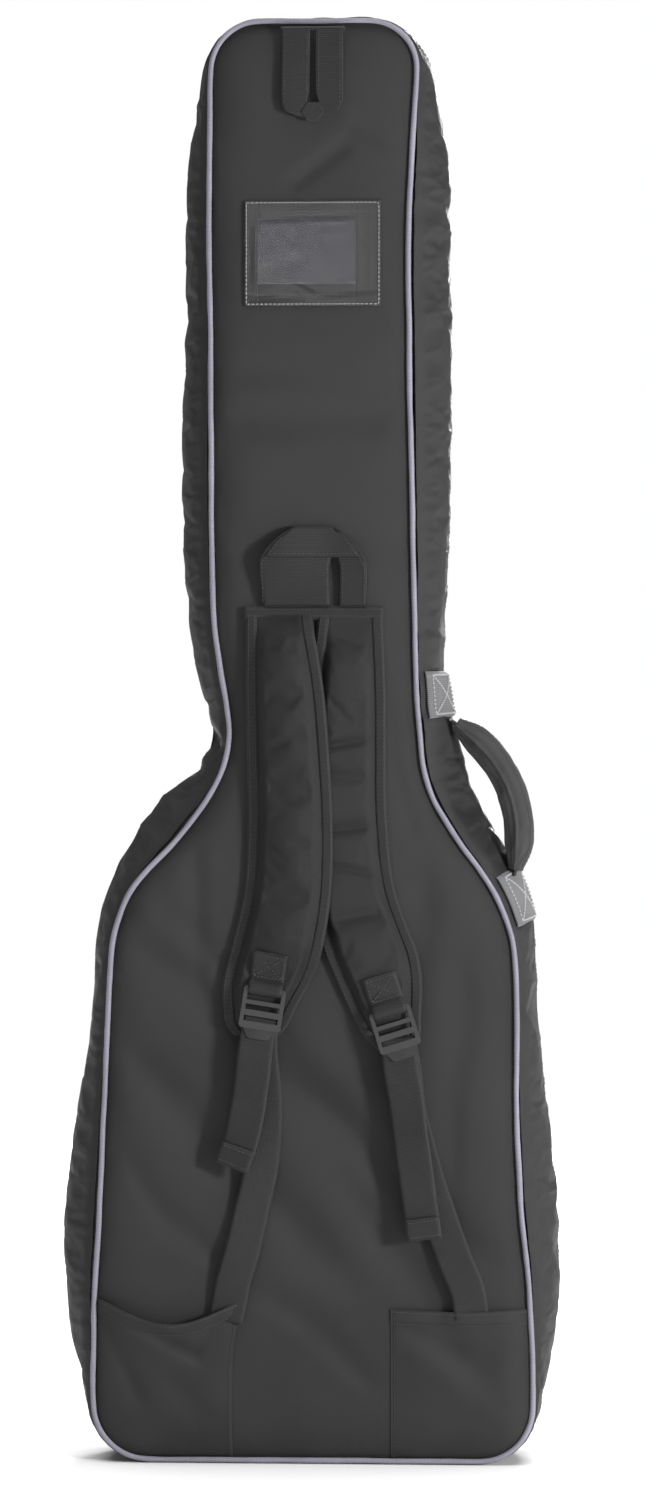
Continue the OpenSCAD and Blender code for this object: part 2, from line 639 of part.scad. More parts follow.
back_panel();
back_foam();
back_lining();
gusset_shell();
gusset_foam();
gusset_lining();
back_piping();
zip_tape_base();
zip_coil_base();
hinge_strip();
id_pocket_frame();
id_window();
handle_tab_upper();
handle_tab_lower();
corner_pocket_left();
corner_pocket_right();
lower_web_left();
lower_web_right();
strap_seam_tape();
neck_cradle();
tail_bumper();
front_panel();
front_foam();
front_lining();
lid_gusset_shell();
lid_gusset_lining();
front_piping();
zip_tape_lid();
zip_coil_lid();
body_pocket_gusset();
body_pocket_panel();
body_pocket_zip();
neck_pocket_panel();
neck_pocket_zip();
zip_slider_upper();
zip_pull_upper();
zip_slider_lower();
zip_pull_lower();
body_pocket_slider();
body_pocket_pull();
neck_pocket_slider();
neck_pocket_pull();
side_handle_grip();
side_handle_webbing();
grab_handle();
hang_loop();
strap_pad_left();
strap_pad_right();
strap_binding_left();
strap_binding_right();
strap_tab_left();
strap_tab_right();
ladder_lock_left();
ladder_lock_right();
web_tail_left();
web_tail_right();
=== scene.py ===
"""Looks of the padded gig bag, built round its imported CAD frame.

Metres throughout. +Z runs to the headstock end, and the strap side faces -Y.
"""

import json
import math

import bmesh
import bpy
import numpy as np
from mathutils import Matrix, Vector
from mathutils.bvhtree import BVHTree
from mathutils.kdtree import KDTree


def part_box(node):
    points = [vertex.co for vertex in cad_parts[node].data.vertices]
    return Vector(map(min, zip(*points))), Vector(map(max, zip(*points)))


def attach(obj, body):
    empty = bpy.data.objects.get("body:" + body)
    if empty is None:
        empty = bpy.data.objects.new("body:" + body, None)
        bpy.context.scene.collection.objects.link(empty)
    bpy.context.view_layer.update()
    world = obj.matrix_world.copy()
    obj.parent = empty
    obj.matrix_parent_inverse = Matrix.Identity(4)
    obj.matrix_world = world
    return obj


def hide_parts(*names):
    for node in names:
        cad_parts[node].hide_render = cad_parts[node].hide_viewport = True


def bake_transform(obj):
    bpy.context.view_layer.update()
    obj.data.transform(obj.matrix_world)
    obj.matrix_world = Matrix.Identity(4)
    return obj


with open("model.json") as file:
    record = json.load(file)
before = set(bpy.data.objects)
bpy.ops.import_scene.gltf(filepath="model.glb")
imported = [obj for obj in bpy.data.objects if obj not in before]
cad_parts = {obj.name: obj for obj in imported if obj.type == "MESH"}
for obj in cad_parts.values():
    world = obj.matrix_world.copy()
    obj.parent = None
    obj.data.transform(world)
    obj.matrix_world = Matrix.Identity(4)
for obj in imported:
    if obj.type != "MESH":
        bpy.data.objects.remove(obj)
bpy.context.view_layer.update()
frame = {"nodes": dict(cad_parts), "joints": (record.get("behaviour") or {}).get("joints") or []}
scene = bpy.context.scene
NODES = frame["nodes"]
JOINTS = {j["name"]: j for j in frame["joints"]}
MM = 0.001
PI = math.pi


# ---------------------------------------------------------------- small maths
def smooth(t):
    t = np.clip(t, 0, 1)
    return t * t * (3 - 2 * t)


def gauss(d, width):
    return np.exp(-((d / width) ** 2))


def lattice(i, j, k, seed):
    h = (i * 374761393 + j * 668265263 + k * 1274126177 + seed * 974634777) & 0xFFFFFFFF
    h = ((h ^ (h >> 13)) * 1274126177) & 0xFFFFFFFF
    return ((h ^ (h >> 16)) & 0xFFFF) / 32767.5 - 1


def noise(x, y=0.0, z=0.0, seed=1):
    """Smooth value noise from -1 to 1, with one bump per unit."""
    x, y, z = np.broadcast_arrays(np.asarray(x, float), np.asarray(y, float), np.asarray(z, float))
    i, j, k = (np.floor(v).astype(np.int64) for v in (x, y, z))
    u, v, w = smooth(x - i), smooth(y - j), smooth(z - k)
    total = 0
    for a in (0, 1):
        for b in (0, 1):
            for c in (0, 1):
                share = (u if a else 1 - u) * (v if b else 1 - v) * (w if c else 1 - w)
                total = total + share * lattice(i + a, j + b, k + c, seed)
    return total


def fbm(x, y=0.0, z=0.0, seed=1, octaves=3):
    total, size = 0, 0
    for o in range(octaves):
        f = 2.0**o
        total = total + noise(x * f, y * f, z * f, seed + 17 * o) / f
        size += 1 / f
    return total / size


def hermite(u, h, a, b, slope_a, slope_b):
    """Cubic from a to b over a step h, at shares u of it."""
    return (
        (2 * u**3 - 3 * u**2 + 1) * a
        + (u**3 - 2 * u**2 + u) * h * slope_a
        + (3 * u**2 - 2 * u**3) * b
        + (u**3 - u**2) * h * slope_b
    )


def curve(ts, vs, q):
    """Smooth curve through the values vs at the rising stations ts, read at q."""
    ts, vs, q = np.asarray(ts, float), np.asarray(vs, float), np.asarray(q, float)
    slope = np.gradient(vs, ts, axis=0)
    q = np.clip(q, ts[0], ts[-1])
    i = np.clip(np.searchsorted(ts, q, "right") - 1, 0, len(ts) - 2)
    h = ts[i + 1] - ts[i]
    u = (q - ts[i]) / h
    if vs.ndim > 1:
        h, u = h[..., None], u[..., None]
    return hermite(u, h, vs[i], vs[i + 1], slope[i], slope[i + 1])


def tiled(direction, count):
    return np.tile(np.array(direction, float), (count, 1))


def there_and_back(v, shift=0.0):
    """Lengths across a two-sided piece: over the front, back along the rear, and closed."""
    return np.concatenate([v, v[..., ::-1] + shift, v[..., :1]], -1)


def two_sided(front, rear):
    return np.concatenate([front, rear[:, ::-1]], 1)


def polyline(points, count=None):
    """The points with more between them: count to each run, or one about every 4 mm."""
    p = np.asarray(points, float)
    many = lambda a, b: count or max(3, int(np.linalg.norm(b - a) / 0.004))
    return np.vstack([np.linspace(a, b, many(a, b))[:-1] for a, b in zip(p[:-1], p[1:])] + [p[-1:]])


def boxed_cross(x0, y0, x1, y1):
    """Corners of a closed box, and the ends of the two lines across it."""
    box = [(x0, y0), (x1, y0), (x1, y1), (x0, y1), (x0, y0)]
    return box, [(x0, y0), (x1, y1)], [(x1, y0), (x0, y1)]


def unit(v):
    return v / np.maximum(np.linalg.norm(v, axis=-1, keepdims=True), 1e-12)


def lengths(points):
    return np.concatenate([[0], np.cumsum(np.linalg.norm(np.diff(points, axis=0), axis=1))])


# ---------------------------------------------------------------- reading the frame
def low(node):
    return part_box(node)[0]


def high(node):
    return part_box(node)[1]


def points_of(node):
    mesh = NODES[node].data
    co = np.zeros(len(mesh.vertices) * 3)
    mesh.vertices.foreach_get("co", co)
    return co.reshape(-1, 3)


def tree_of(*nodes):
    points, faces = [], []
    for node in nodes:
        base = len(points)
        points += [tuple(p) for p in points_of(node)]
        faces += [[base + v for v in p.vertices] for p in NODES[node].data.polygons]
    return BVHTree.FromPolygons(points, faces)


def rows_of(node):
    """Rows [z, left x, right x, lowest y, highest y] of a strip whose rows are level."""
    co = points_of(node)
    level = np.round(co[:, 2], 4)
    rows = []
    for z in np.unique(level):
        at = co[level == z]
        rows.append([z, at[:, 0].min(), at[:, 0].max(), at[:, 1].min(), at[:, 1].max()])
    return np.array(rows)


BACK_Y = (low("back_piping").y + high("back_piping").y) / 2
FRONT_Y = (low("front_piping").y + high("front_piping").y) / 2
PIPE_R = (high("back_piping").y - low("back_piping").y) / 2
INSET = low("back_lining").z - low("back_piping").z
CROWN = BACK_Y - low("back_panel").y
STRAP_Y = high("strap_pad_right").y
PAD_T = STRAP_Y - low("strap_pad_right").y
SEAM_Z = (low("strap_seam_tape").z + high("strap_seam_tape").z) / 2


class Outline:
    """A closed line in the XZ plane, anticlockwise from the lower right, with outward normals."""

    def __init__(self, points, step):
        points = np.asarray(points, float)
        nxt = np.roll(points, -1, 0)
        gap = np.linalg.norm(nxt - points, axis=1)
        slope = (nxt - np.roll(points, 1, 0)) / (gap + np.roll(gap, 1))[:, None]
        t = np.concatenate([[0], np.cumsum(gap)])
        q = np.linspace(0, t[-1], int(t[-1] / step), endpoint=False)
        i = np.searchsorted(t, q, "right") - 1
        h = gap[i][:, None]
        u = (q - t[i])[:, None] / h
        self.p = hermite(u, h, points[i], nxt[i], slope[i], np.roll(slope, -1, 0)[i])
        d = np.roll(self.p, -2, 0) - np.roll(self.p, 2, 0)
        self.n = unit(np.stack([d[:, 1], -d[:, 0]], 1))
        self.s = lengths(np.vstack([self.p, self.p[:1]]))
        self.count = len(self.p)

    def ring(self, inset):
        return self.p - self.n * inset

    def out(self, i=slice(None)):
        """Outward directions in space, at samples i."""
        n = self.n[i]
        return np.stack([n[:, 0], np.zeros(len(n)), n[:, 1]], 1)

    def rows(self, inset, step):
        """Heights, and the left and right x at each, for a panel set in from the line."""
        q = self.ring(inset)
        z0, z1 = q[:, 1].min(), q[:, 1].max()
        edge = 0.0002
        sides = []
        for sign in (-1, 1):
            at = q[(q[:, 0] * sign > 0) & (q[:, 1] > z0 + edge) & (q[:, 1] < z1 - edge)]
            sides.append(at[np.argsort(at[:, 1])])
        left, right = sides
        run = lengths(right)
        z = np.interp(np.linspace(0, run[-1], int(run[-1] / step)), run, right[:, 1])
        z = np.concatenate([[z0], z, [z1]])
        return z, np.interp(z, left[:, 1], left[:, 0]), np.interp(z, right[:, 1], right[:, 0])


def corner_points(node):
    """The outline of a flat node: right side upward, then left side downward."""
    p = np.unique(np.round(points_of(node)[:, [0, 2]], 5), axis=0)
    right, left = p[p[:, 0] > 0], p[p[:, 0] <= 0]
    return np.vstack([right[np.argsort(right[:, 1])], left[np.argsort(-left[:, 1])]])


def with_flats(points, step=0.03):
    """The same outline with points added along its level edges."""
    out = []
    for a, b in zip(points, np.roll(points, -1, 0)):
        parts = int(np.linalg.norm(b - a) / step) if abs(a[1] - b[1]) < 0.0006 else 0
        out += [a + (b - a) * k / (parts + 1) for k in range(parts + 1)]
    return np.array(out)


def cut_corners(points, step, times):
    """The same outline, divided and with its corners rounded off."""
    out = []
    for a, b in zip(points, np.roll(points, -1, 0)):
        parts = max(1, int(np.linalg.norm(b - a) / step))
        out += [a + (b - a) * k / parts for k in range(parts)]
    points = np.array(out)
    for _ in range(times):
        nxt = np.roll(points, -1, 0)
        points = np.stack([0.75 * points + 0.25 * nxt, 0.25 * points + 0.75 * nxt], 1).reshape(-1, 2)
    return points


# the piped outline; offsets run outward from it
inner = with_flats(corner_points("back_lining"))
RIM = Outline(inner, 0.002)
RIM.p = RIM.p + RIM.n * INSET
RIM.s = lengths(np.vstack([RIM.p, RIM.p[:1]]))


def bow(y):
    half = FRONT_Y
    return np.where(np.abs(y) >= half, 0, np.cos(PI / 2 * np.clip(y / half, -1, 1))) ** 0.7


def ring_smooth(values, width):
    k = np.arange(-4 * width, 4 * width + 1)
    w = np.exp(-((k / width) ** 2))
    w /= w.sum()
    return sum(np.roll(values, s) * a for s, a in zip(k, w))


def wall_swell():
    """How far the side wall stands past the piping at mid-depth, all round, from the CAD wall."""
    tree, y, far = tree_of("gusset_shell"), 4 * MM, 0.08
    out = []
    for p, n in zip(RIM.p, RIM.n):
        hit = tree.ray_cast(Vector((p[0] + n[0] * far, y, p[1] + n[1] * far)), Vector((-n[0], 0, -n[1])), 0.2)
        out.append(far - hit[3] if hit[3] else 0)
    return ring_smooth(np.maximum(np.array(out), 0), 7) / bow(y)


SWELL = wall_swell()
bend = np.cross(np.roll(RIM.n, 8, 0), np.roll(RIM.n, -8, 0))
HOLLOW = ring_smooth(np.clip(-bend / 0.12, 0, 1), 10)  # 1 where the outline is hollow, as at the waist


def rim_index(side, z):
    """The outline's sample at a height, on one side."""
    d = np.abs(RIM.p[:, 1] - z) + np.where(RIM.p[:, 0] * side > 0.02, 0, 9)
    return int(np.argmin(d))


WAIST_L = RIM.s[rim_index(-1, 0.597)]
WAIST_R = RIM.s[rim_index(1, 0.625)]


def wall_detail(i, y):
    """Wrinkles and puckers of the side wall, in metres outward, at outline samples i and depths y."""
    s = RIM.s[i][:, None]
    y = y[None, :]
    across = np.clip((y - BACK_Y) / (FRONT_Y - BACK_Y), 0, 1)
    free = np.clip(np.sin(PI * np.clip((y - BACK_Y) / 0.064, 0, 1)), 0, 1) ** 0.7
    free = np.where(y > 0.024, np.clip(np.sin(PI * (y - 0.024) / 0.026), 0, 1) * 0.4, free)
    hollow = HOLLOW[i][:, None]
    ends = smooth((RIM.p[i, 1] - 0.02) / 0.06)[:, None]
    lean = fbm(s / 0.16, y / 0.2, seed=5) * 0.02
    ridge = 1 - np.abs(noise((s + lean) / 0.034, y / 0.11, seed=3))
    small = fbm((s + lean) / 0.017, y / 0.04, seed=9)
    out = (ridge - 0.62) * (2.1 + 4.2 * hollow) + small * (0.5 + 0.8 * hollow)
    out = out * free * ends
    # puckers held by the seam at the piping, and by the zip's seam
    size = 0.55 + 0.45 * noise(s / 0.05, seed=21)
    tuck = noise(s / 0.0062, seed=23) + 0.6 * noise(s / 0.013, seed=24)
    out = out + 0.75 * size * tuck * gauss(y - BACK_Y - 0.007, 0.008)
    out = out + 0.3 * size * noise(s / 0.008, seed=27) * gauss(y - 0.009, 0.006)
    out = out + 0.5 * size * tuck * gauss(FRONT_Y - y - 0.006, 0.006)
    # one deep fold across the wall at the waist, and lesser ones beside it
    for centre, depth, width in (
        (WAIST_L, 10, 0.011), (WAIST_L + 0.032, 3.5, 0.008), (WAIST_L - 0.036, 3, 0.009),
        (WAIST_R, 4, 0.009), (WAIST_R + 0.03, 3, 0.008),
    ):
        out = out - depth * gauss(s - centre + 0.012 * (across - 0.3), width) * free
    # the wall slumps outward below the waist and low on the left
    x, z = RIM.p[i, 0][:, None], RIM.p[i, 1][:, None]
    left = smooth((-x - 0.02) / 0.03)
    slump = left * (11 * gauss(z - 0.525, 0.035) + 6 * gauss(z - 0.19, 0.12) + 3.5 * gauss(z - 1.07, 0.05))
    slump = slump + 3 * gauss(z - 1.07, 0.05) * smooth((x - 0.02) / 0.03)
    out = out + slump * np.clip(np.sin(PI * np.clip((y - BACK_Y) / 0.07, 0, 1)), 0, 1) ** 0.7
    return out * MM


def wall(i, y, proud=0.0, detail=1.0):
    """Points of the side wall at outline samples i (first axis) and depths y (second)."""
    off = SWELL[i][:, None] * bow(y)[None, :] + proud
    if detail:
        off = off + wall_detail(i, y) * detail
    p, n = RIM.p[i], RIM.n[i]
    x = p[:, 0][:, None] + n[:, 0][:, None] * off
    z = p[:, 1][:, None] + n[:, 1][:, None] * off
    return np.stack([x, np.broadcast_to(y[None, :], x.shape), z], -1)


# ---------------------------------------------------------------- mesh building
def grid(points, us, vs, round_u=False, round_v=False, flip=False, part=0):
    """Faces over a grid of points; us and vs are the surface's own lengths along it, in metres."""
    nu, nv = points.shape[:2]
    i, j = np.meshgrid(np.arange(nu - (not round_u)), np.arange(nv - (not round_v)), indexing="ij")
    corners = [(i, j), (i + 1, j), (i + 1, j + 1), (i, j + 1)]
    if flip:
        corners = corners[::-1]
    faces = np.stack([(a % nu) * nv + b % nv for a, b in corners], -1).reshape(-1, 4)
    us, vs = np.asarray(us, float), np.asarray(vs, float)
    if us.ndim == 1:
        us = np.broadcast_to(us[:, None], (len(us), len(vs) if vs.ndim == 1 else vs.shape[1]))
    if vs.ndim == 1:
        vs = np.broadcast_to(vs[None, :], us.shape)
    uv = np.stack([np.stack([us[a, b], vs[a, b]], -1) for a, b in corners], -2).reshape(-1, 2)
    return points.reshape(-1, 3), faces.tolist(), uv, part


def sweep(centres, a, b, ra, rb, sides, closed=False):
    """A tube along centres, with half widths ra along a and rb along b."""
    ang = np.arange(sides) * 2 * PI / sides
    ra, rb = (np.broadcast_to(np.asarray(r, float), (len(centres),)) for r in (ra, rb))
    points = (
        centres[:, None, :]
        + a[:, None, :] * (ra[:, None] * np.cos(ang))[..., None]
        + b[:, None, :] * (rb[:, None] * np.sin(ang))[..., None]
    )
    run = lengths(np.vstack([centres, centres[:1]]) if closed else centres)
    round_ = np.arange(sides + 1) * 2 * PI * ra.mean() / sides
    v, f, uv, part = grid(points, run, round_, round_u=closed, round_v=True)
    if not closed:
        last = (len(centres) - 1) * sides
        f = f + [list(range(sides)), [last + k for k in range(sides - 1, -1, -1)]]
        uv = np.vstack([uv, np.zeros((2 * sides, 2))])
    return v, f, uv, part


def ribbon(centres, across, out, width, thick, cols=12):
    """Webbing along centres: width across, thick along out, with rounded edges and square ends."""
    width, thick = (np.broadcast_to(np.asarray(r, float), (len(centres),)) for r in (width, thick))
    half = np.linspace(-1, 1, cols)
    edge = 1 - np.clip((np.abs(half) - 0.94) / 0.06, 0, 1) ** 2 * 0.45
    ring = [(h, e) for h, e in zip(half, edge)] + [(h, -e) for h, e in zip(half[::-1], edge[::-1])]
    ring = np.array(ring)
    points = (
        centres[:, None, :]
        + across[:, None, :] * (width[:, None] / 2 * ring[:, 0])[..., None]
        + out[:, None, :] * (thick[:, None] / 2 * ring[:, 1])[..., None]
    )
    run = lengths(centres)
    side = ring[:, 0] * width.mean() / 2
    side = np.append(side, side[0])
    m = len(ring)
    v, f, uv, part = grid(points, run, side, round_v=True)
    last = (len(centres) - 1) * m
    caps, cap_uv = [], []
    for k in range(cols - 1):
        caps += [[k, k + 1, m - 2 - k, m - 1 - k], [last + m - 1 - k, last + m - 2 - k, last + k + 1, last + k]]
        cap_uv += [[0, side[k]], [0, side[k + 1]], [0.002, side[k + 1]], [0.002, side[k]]] * 2
    return v, f + caps, np.vstack([uv, np.array(cap_uv)]), part


def capsules(starts, ends, up, radius, part=0, dip=0.6):
    """Short threads from starts to ends; their ends dip into the cloth."""
    along = unit(ends - starts)
    side = unit(np.cross(along, up))
    up = unit(np.cross(side, along))
    sides = 6
    ang = np.arange(sides) * 2 * PI / sides
    stations = ((0.0, 0.35, -dip), (0.18, 1.0, 0.0), (0.82, 1.0, 0.0), (1.0, 0.35, -dip))
    rings = []
    for t, size, drop in stations:
        c = starts + (ends - starts) * t + up * radius * (drop + 0.35)
        spoke = side[:, None, :] * np.cos(ang)[None, :, None] + up[:, None, :] * np.sin(ang)[None, :, None]
        rings.append(c[:, None, :] + radius * size * spoke)
    v = np.stack(rings, 1).reshape(-1, 3)
    per = len(stations) * sides
    one = []
    for r in range(len(stations) - 1):
        for k in range(sides):
            a, b = r * sides + k, r * sides + (k + 1) % sides
            one.append([a, b, b + sides, a + sides])
    last = per - sides
    one += [[3, 2, 1, 0], [5, 4, 3, 0], [last, last + 1, last + 2, last + 3], [last, last + 3, last + 4, last + 5]]
    one = np.array(one)
    f = (one[None] + (np.arange(len(starts)) * per)[:, None, None]).reshape(-1, 4)
    uv = np.tile(np.array([[0, 0], [0, 0.001], [0.003, 0.001], [0.003, 0]]), (len(f), 1))
    return v, f.tolist(), uv, part


def stitches(line, up, pitch=0.0034, fill=0.7, radius=0.00034, part=0):
    """A row of stitches along a line of points, standing on a surface whose normals are up."""
    run = lengths(line)
    count = max(1, int(run[-1] / pitch))
    t0 = (np.arange(count) + 0.5 - fill / 2) * run[-1] / count
    t1 = t0 + fill * run[-1] / count
    at = lambda values, t: np.stack([np.interp(t, run, values[:, k]) for k in range(3)], 1)
    return capsules(at(line, t0), at(line, t1), at(up, (t0 + t1) / 2), radius, part)


def piece(name, parts, mats, body=None, replaces=()):
    """One object from mesh parts. It rides on body, unless that is left for a blend."""
    verts, faces, uvs, index, base = [], [], [], [], 0
    for v, f, uv, m in parts:
        verts.append(v)
        faces += [[base + k for k in face] for face in f]
        uvs.append(uv)
        index += [m] * len(f)
        base += len(v)
    mesh = bpy.data.meshes.new(name)
    mesh.from_pydata(np.vstack(verts).tolist(), [], faces)
    layer = mesh.uv_layers.new(name="UVMap")
    layer.data.foreach_set("uv", np.vstack(uvs).astype(np.float32).ravel())
    for m in mats if isinstance(mats, (list, tuple)) else [mats]:
        mesh.materials.append(m)
    mesh.polygons.foreach_set("material_index", index)
    mesh.polygons.foreach_set("use_smooth", [True] * len(faces))
    mesh.update()
    obj = bpy.data.objects.new(name, mesh)
    scene.collection.objects.link(obj)
    if body:
        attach(obj, body)
    if replaces:
        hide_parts(*replaces)
    return obj


def simulate(points, faces, pin, pressure=4.0, shrink=0.0, frames=20, cap=0.01, mass=0.3, stiff=15.0, bending=0.5):
    """Cloth with no gravity over the given mesh, each point moving no further than cap."""
    points = points.reshape(-1, 3)
    mesh = bpy.data.meshes.new("cloth_work")
    mesh.from_pydata(points.tolist(), [], faces)
    obj = bpy.data.objects.new("cloth_work", mesh)
    scene.collection.objects.link(obj)
    group = obj.vertex_groups.new(name="pin")
    level = np.round(np.clip(pin, 0, 1) * 10).astype(int)
    for k in range(1, 11):
        group.add(np.flatnonzero(level == k).tolist(), k / 10, "REPLACE")
    cloth = obj.modifiers.new("cloth", "CLOTH")
    s = cloth.settings
    s.quality = 6
    s.mass = mass
    s.tension_stiffness = s.compression_stiffness = stiff
    s.shear_stiffness = stiff / 3
    s.bending_stiffness = bending
    s.air_damping = 1.5
    s.vertex_group_mass = "pin"
    s.use_pressure = True
    s.uniform_pressure_force = pressure
    s.shrink_min = s.shrink_max = shrink
    s.effector_weights.gravity = 0
    cloth.collision_settings.use_collision = False
    cloth.collision_settings.use_self_collision = False
    for f in range(1, frames + 1):
        scene.frame_set(f)
    ready = obj.evaluated_get(bpy.context.evaluated_depsgraph_get()).data
    co = np.zeros(len(ready.vertices) * 3)
    ready.vertices.foreach_get("co", co)
    scene.frame_set(1)
    bpy.data.objects.remove(obj)
    bpy.data.meshes.remove(mesh)
    move = co.reshape(-1, 3) - points
    size = np.linalg.norm(move, axis=1, keepdims=True)
    return points + move / np.maximum(size, 1e-9) * cap * np.tanh(size / cap)


# ---------------------------------------------------------------- materials
class Nodes:
    """A material's node tree, with a short way to add and link nodes."""

    def __init__(self, name):
        self.mat = bpy.data.materials.new(name)
        self.mat.use_nodes = True
        self.tree = self.mat.node_tree
        self.shader = self.tree.nodes["Principled BSDF"]

    def add(self, kind, props=None, **sockets):
        node = self.tree.nodes.new(kind)
        for key, value in (props or {}).items():
            setattr(node, key, value)
        for key, value in sockets.items():
            self.put(node.inputs[key.replace("_", " ")], value)
        return node

    def put(self, socket, value):
        if isinstance(value, bpy.types.NodeSocket):
            self.tree.links.new(value, socket)
        else:
            socket.default_value = value

    def maths(self, op, a, b=0.0):
        node = self.tree.nodes.new("ShaderNodeMath")
        node.operation = op
        self.put(node.inputs[0], a)
        self.put(node.inputs[1], b)
        return node.outputs[0]

    def mix(self, factor, a, b):
        node = self.tree.nodes.new("ShaderNodeMix")
        node.data_type = "RGBA"
        self.put(node.inputs[0], factor)
        self.put(node.inputs[6], a)
        self.put(node.inputs[7], b)
        return node.outputs[2]

    def ramp(self, factor, *stops):
        node = self.tree.nodes.new("ShaderNodeValToRGB")
        self.put(node.inputs[0], factor)
        items = node.color_ramp.elements
        for k, (at, grey) in enumerate(stops):
            item = items[k] if k < 2 else items.new(at)
            item.position = at
            item.color = (grey, grey, grey, 1)
        return node.outputs[0]

    def set(self, **sockets):
        for key, value in sockets.items():
            self.put(self.shader.inputs[key.replace("_", " ")], value)


def rgb(r, g, b):
    return (r, g, b, 1)


def wave(n, coords, pitch, direction):
    props = {"wave_type": "BANDS", "bands_direction": direction, "wave_profile": "SIN"}
    return n.add("ShaderNodeTexWave", props, Vector=coords, Scale=PI / 10 / pitch).outputs["Fac"]


def cloth(name, colour, pitch=0.0007, depth=0.0002, rough=0.8, sheen=0.1, sheen_rough=0.4, vary=0.25,
          weave="plain", rib=0.0014, wear=0.0, coords="UV"):
    """Woven cloth. weave is plain, twill, webbing (cross ribs over lengthwise yarns) or plush."""
    n = Nodes(name)
    place = n.add("ShaderNodeTexCoord").outputs[coords]
    whole = n.add("ShaderNodeTexCoord").outputs["Object"]
    if weave == "plain":
        over = n.add("ShaderNodeTexChecker", Vector=place, Scale=1 / pitch).outputs["Fac"]
        a, b = wave(n, place, pitch, "X"), wave(n, place, pitch, "Y")
        height = n.maths("ADD", n.maths("MULTIPLY", a, over), n.maths("MULTIPLY", b, n.maths("SUBTRACT", 1.0, over)))
    elif weave == "twill":
        height = wave(n, place, pitch, "DIAGONAL")
    elif weave == "webbing":
        cross, along = wave(n, place, rib, "X"), wave(n, place, pitch, "Y")
        height = n.maths("ADD", n.maths("MULTIPLY", cross, 0.65), n.maths("MULTIPLY", along, 0.35))
    else:
        height = n.add("ShaderNodeTexNoise", Vector=whole, Scale=1 / pitch, Detail=4.0, Roughness=0.7).outputs["Fac"]
    broad = n.add("ShaderNodeTexNoise", Vector=whole, Scale=14.0, Detail=5.0, Roughness=0.6).outputs["Fac"]
    fine = n.add("ShaderNodeTexNoise", Vector=whole, Scale=420.0, Detail=3.0, Roughness=0.7).outputs["Fac"]
    dark = rgb(*(c * (1 - vary) for c in colour))
    light = rgb(*(c * (1 + vary) for c in colour))
    tone = n.mix(n.ramp(broad, (0.32, 0), (0.68, 1)), dark, light)
    # painted shade and light: the colour drops to 0.45 in the weave's low points and rises to 1.12 on the thread tops,
    # read from the bump's own height
    weave_shade = n.mix(n.ramp(height, (0.1, 0), (0.75, 1)), rgb(0.45, 0.45, 0.45), rgb(1.12, 1.12, 1.12))
    mult = n.tree.nodes.new("ShaderNodeMix")
    mult.data_type, mult.blend_type = "RGBA", "MULTIPLY"
    mult.inputs[0].default_value = 0.8
    n.put(mult.inputs[6], tone)
    n.put(mult.inputs[7], weave_shade)
    colour_out = mult.outputs[2]
    if wear:
        # lint and rubbed threads
        lint = n.ramp(fine, (0.66, 0), (0.8, 1))
        patch = n.ramp(broad, (0.5, 0), (0.72, 1))
        share = n.maths("MULTIPLY", n.maths("MULTIPLY", lint, patch), wear)
        colour_out = n.mix(share, colour_out, rgb(*(c * 2.2 + 0.02 for c in colour)))
    bump = n.add("ShaderNodeBump", Height=height, Strength=0.75, Distance=depth)
    rough_out = n.ramp(broad, (0.3, rough - 0.06), (0.7, rough + 0.06))
    n.set(Base_Color=colour_out, Roughness=rough_out, Normal=bump.outputs[0], Sheen_Weight=sheen,
          Sheen_Roughness=sheen_rough, Specular_IOR_Level=0.3)
    return n.mat


def hard(name, colour, rough, metal=0.0, grain=0.00003, scale=900.0, wear=0.25):
    """Moulded plastic or coated metal with a fine grain and rubbed high spots."""
    n = Nodes(name)
    place = n.add("ShaderNodeTexCoord").outputs["Object"]
    fine = n.add("ShaderNodeTexNoise", Vector=place, Scale=scale, Detail=4.0, Roughness=0.6).outputs["Fac"]
    broad = n.add("ShaderNodeTexNoise", Vector=place, Scale=60.0, Detail=4.0, Roughness=0.6).outputs["Fac"]
    spots = n.maths("ADD", n.maths("MULTIPLY", fine, 0.5), n.maths("MULTIPLY", broad, 0.5))
    rubbed = n.ramp(spots, (0.5, 0), (0.68, 1))
    tone = n.mix(n.maths("MULTIPLY", rubbed, wear), rgb(*colour), rgb(*(c * 2 + 0.02 for c in colour)))
    bump = n.add("ShaderNodeBump", Height=fine, Strength=0.4, Distance=grain)
    n.set(Base_Color=tone, Roughness=n.ramp(broad, (0.3, rough - 0.07), (0.7, rough + 0.08)),
          Metallic=metal, Normal=bump.outputs[0])
    return n.mat


def vinyl(name, colour, alpha, rough):
    """Clear or clouded plastic film with faint ripples and smears."""
    n = Nodes(name)
    place = n.add("ShaderNodeTexCoord").outputs["Object"]
    ripple = n.add("ShaderNodeTexNoise", Vector=place, Scale=38.0, Detail=2.0, Distortion=0.8).outputs["Fac"]
    smear = n.add("ShaderNodeTexNoise", Vector=place, Scale=90.0, Detail=5.0, Roughness=0.7).outputs["Fac"]
    bump = n.add("ShaderNodeBump", Height=ripple, Strength=1.0, Distance=0.0022)
    tone = n.mix(smear, rgb(*(c * 0.8 for c in colour)), rgb(*(c * 1.2 for c in colour)))
    n.set(Base_Color=tone, Roughness=n.ramp(smear, (0.3, rough), (0.75, rough + 0.14)),
          Alpha=alpha, Normal=bump.outputs[0], IOR=1.5, Coat_Weight=1.0, Coat_Roughness=0.06)
    return n.mat


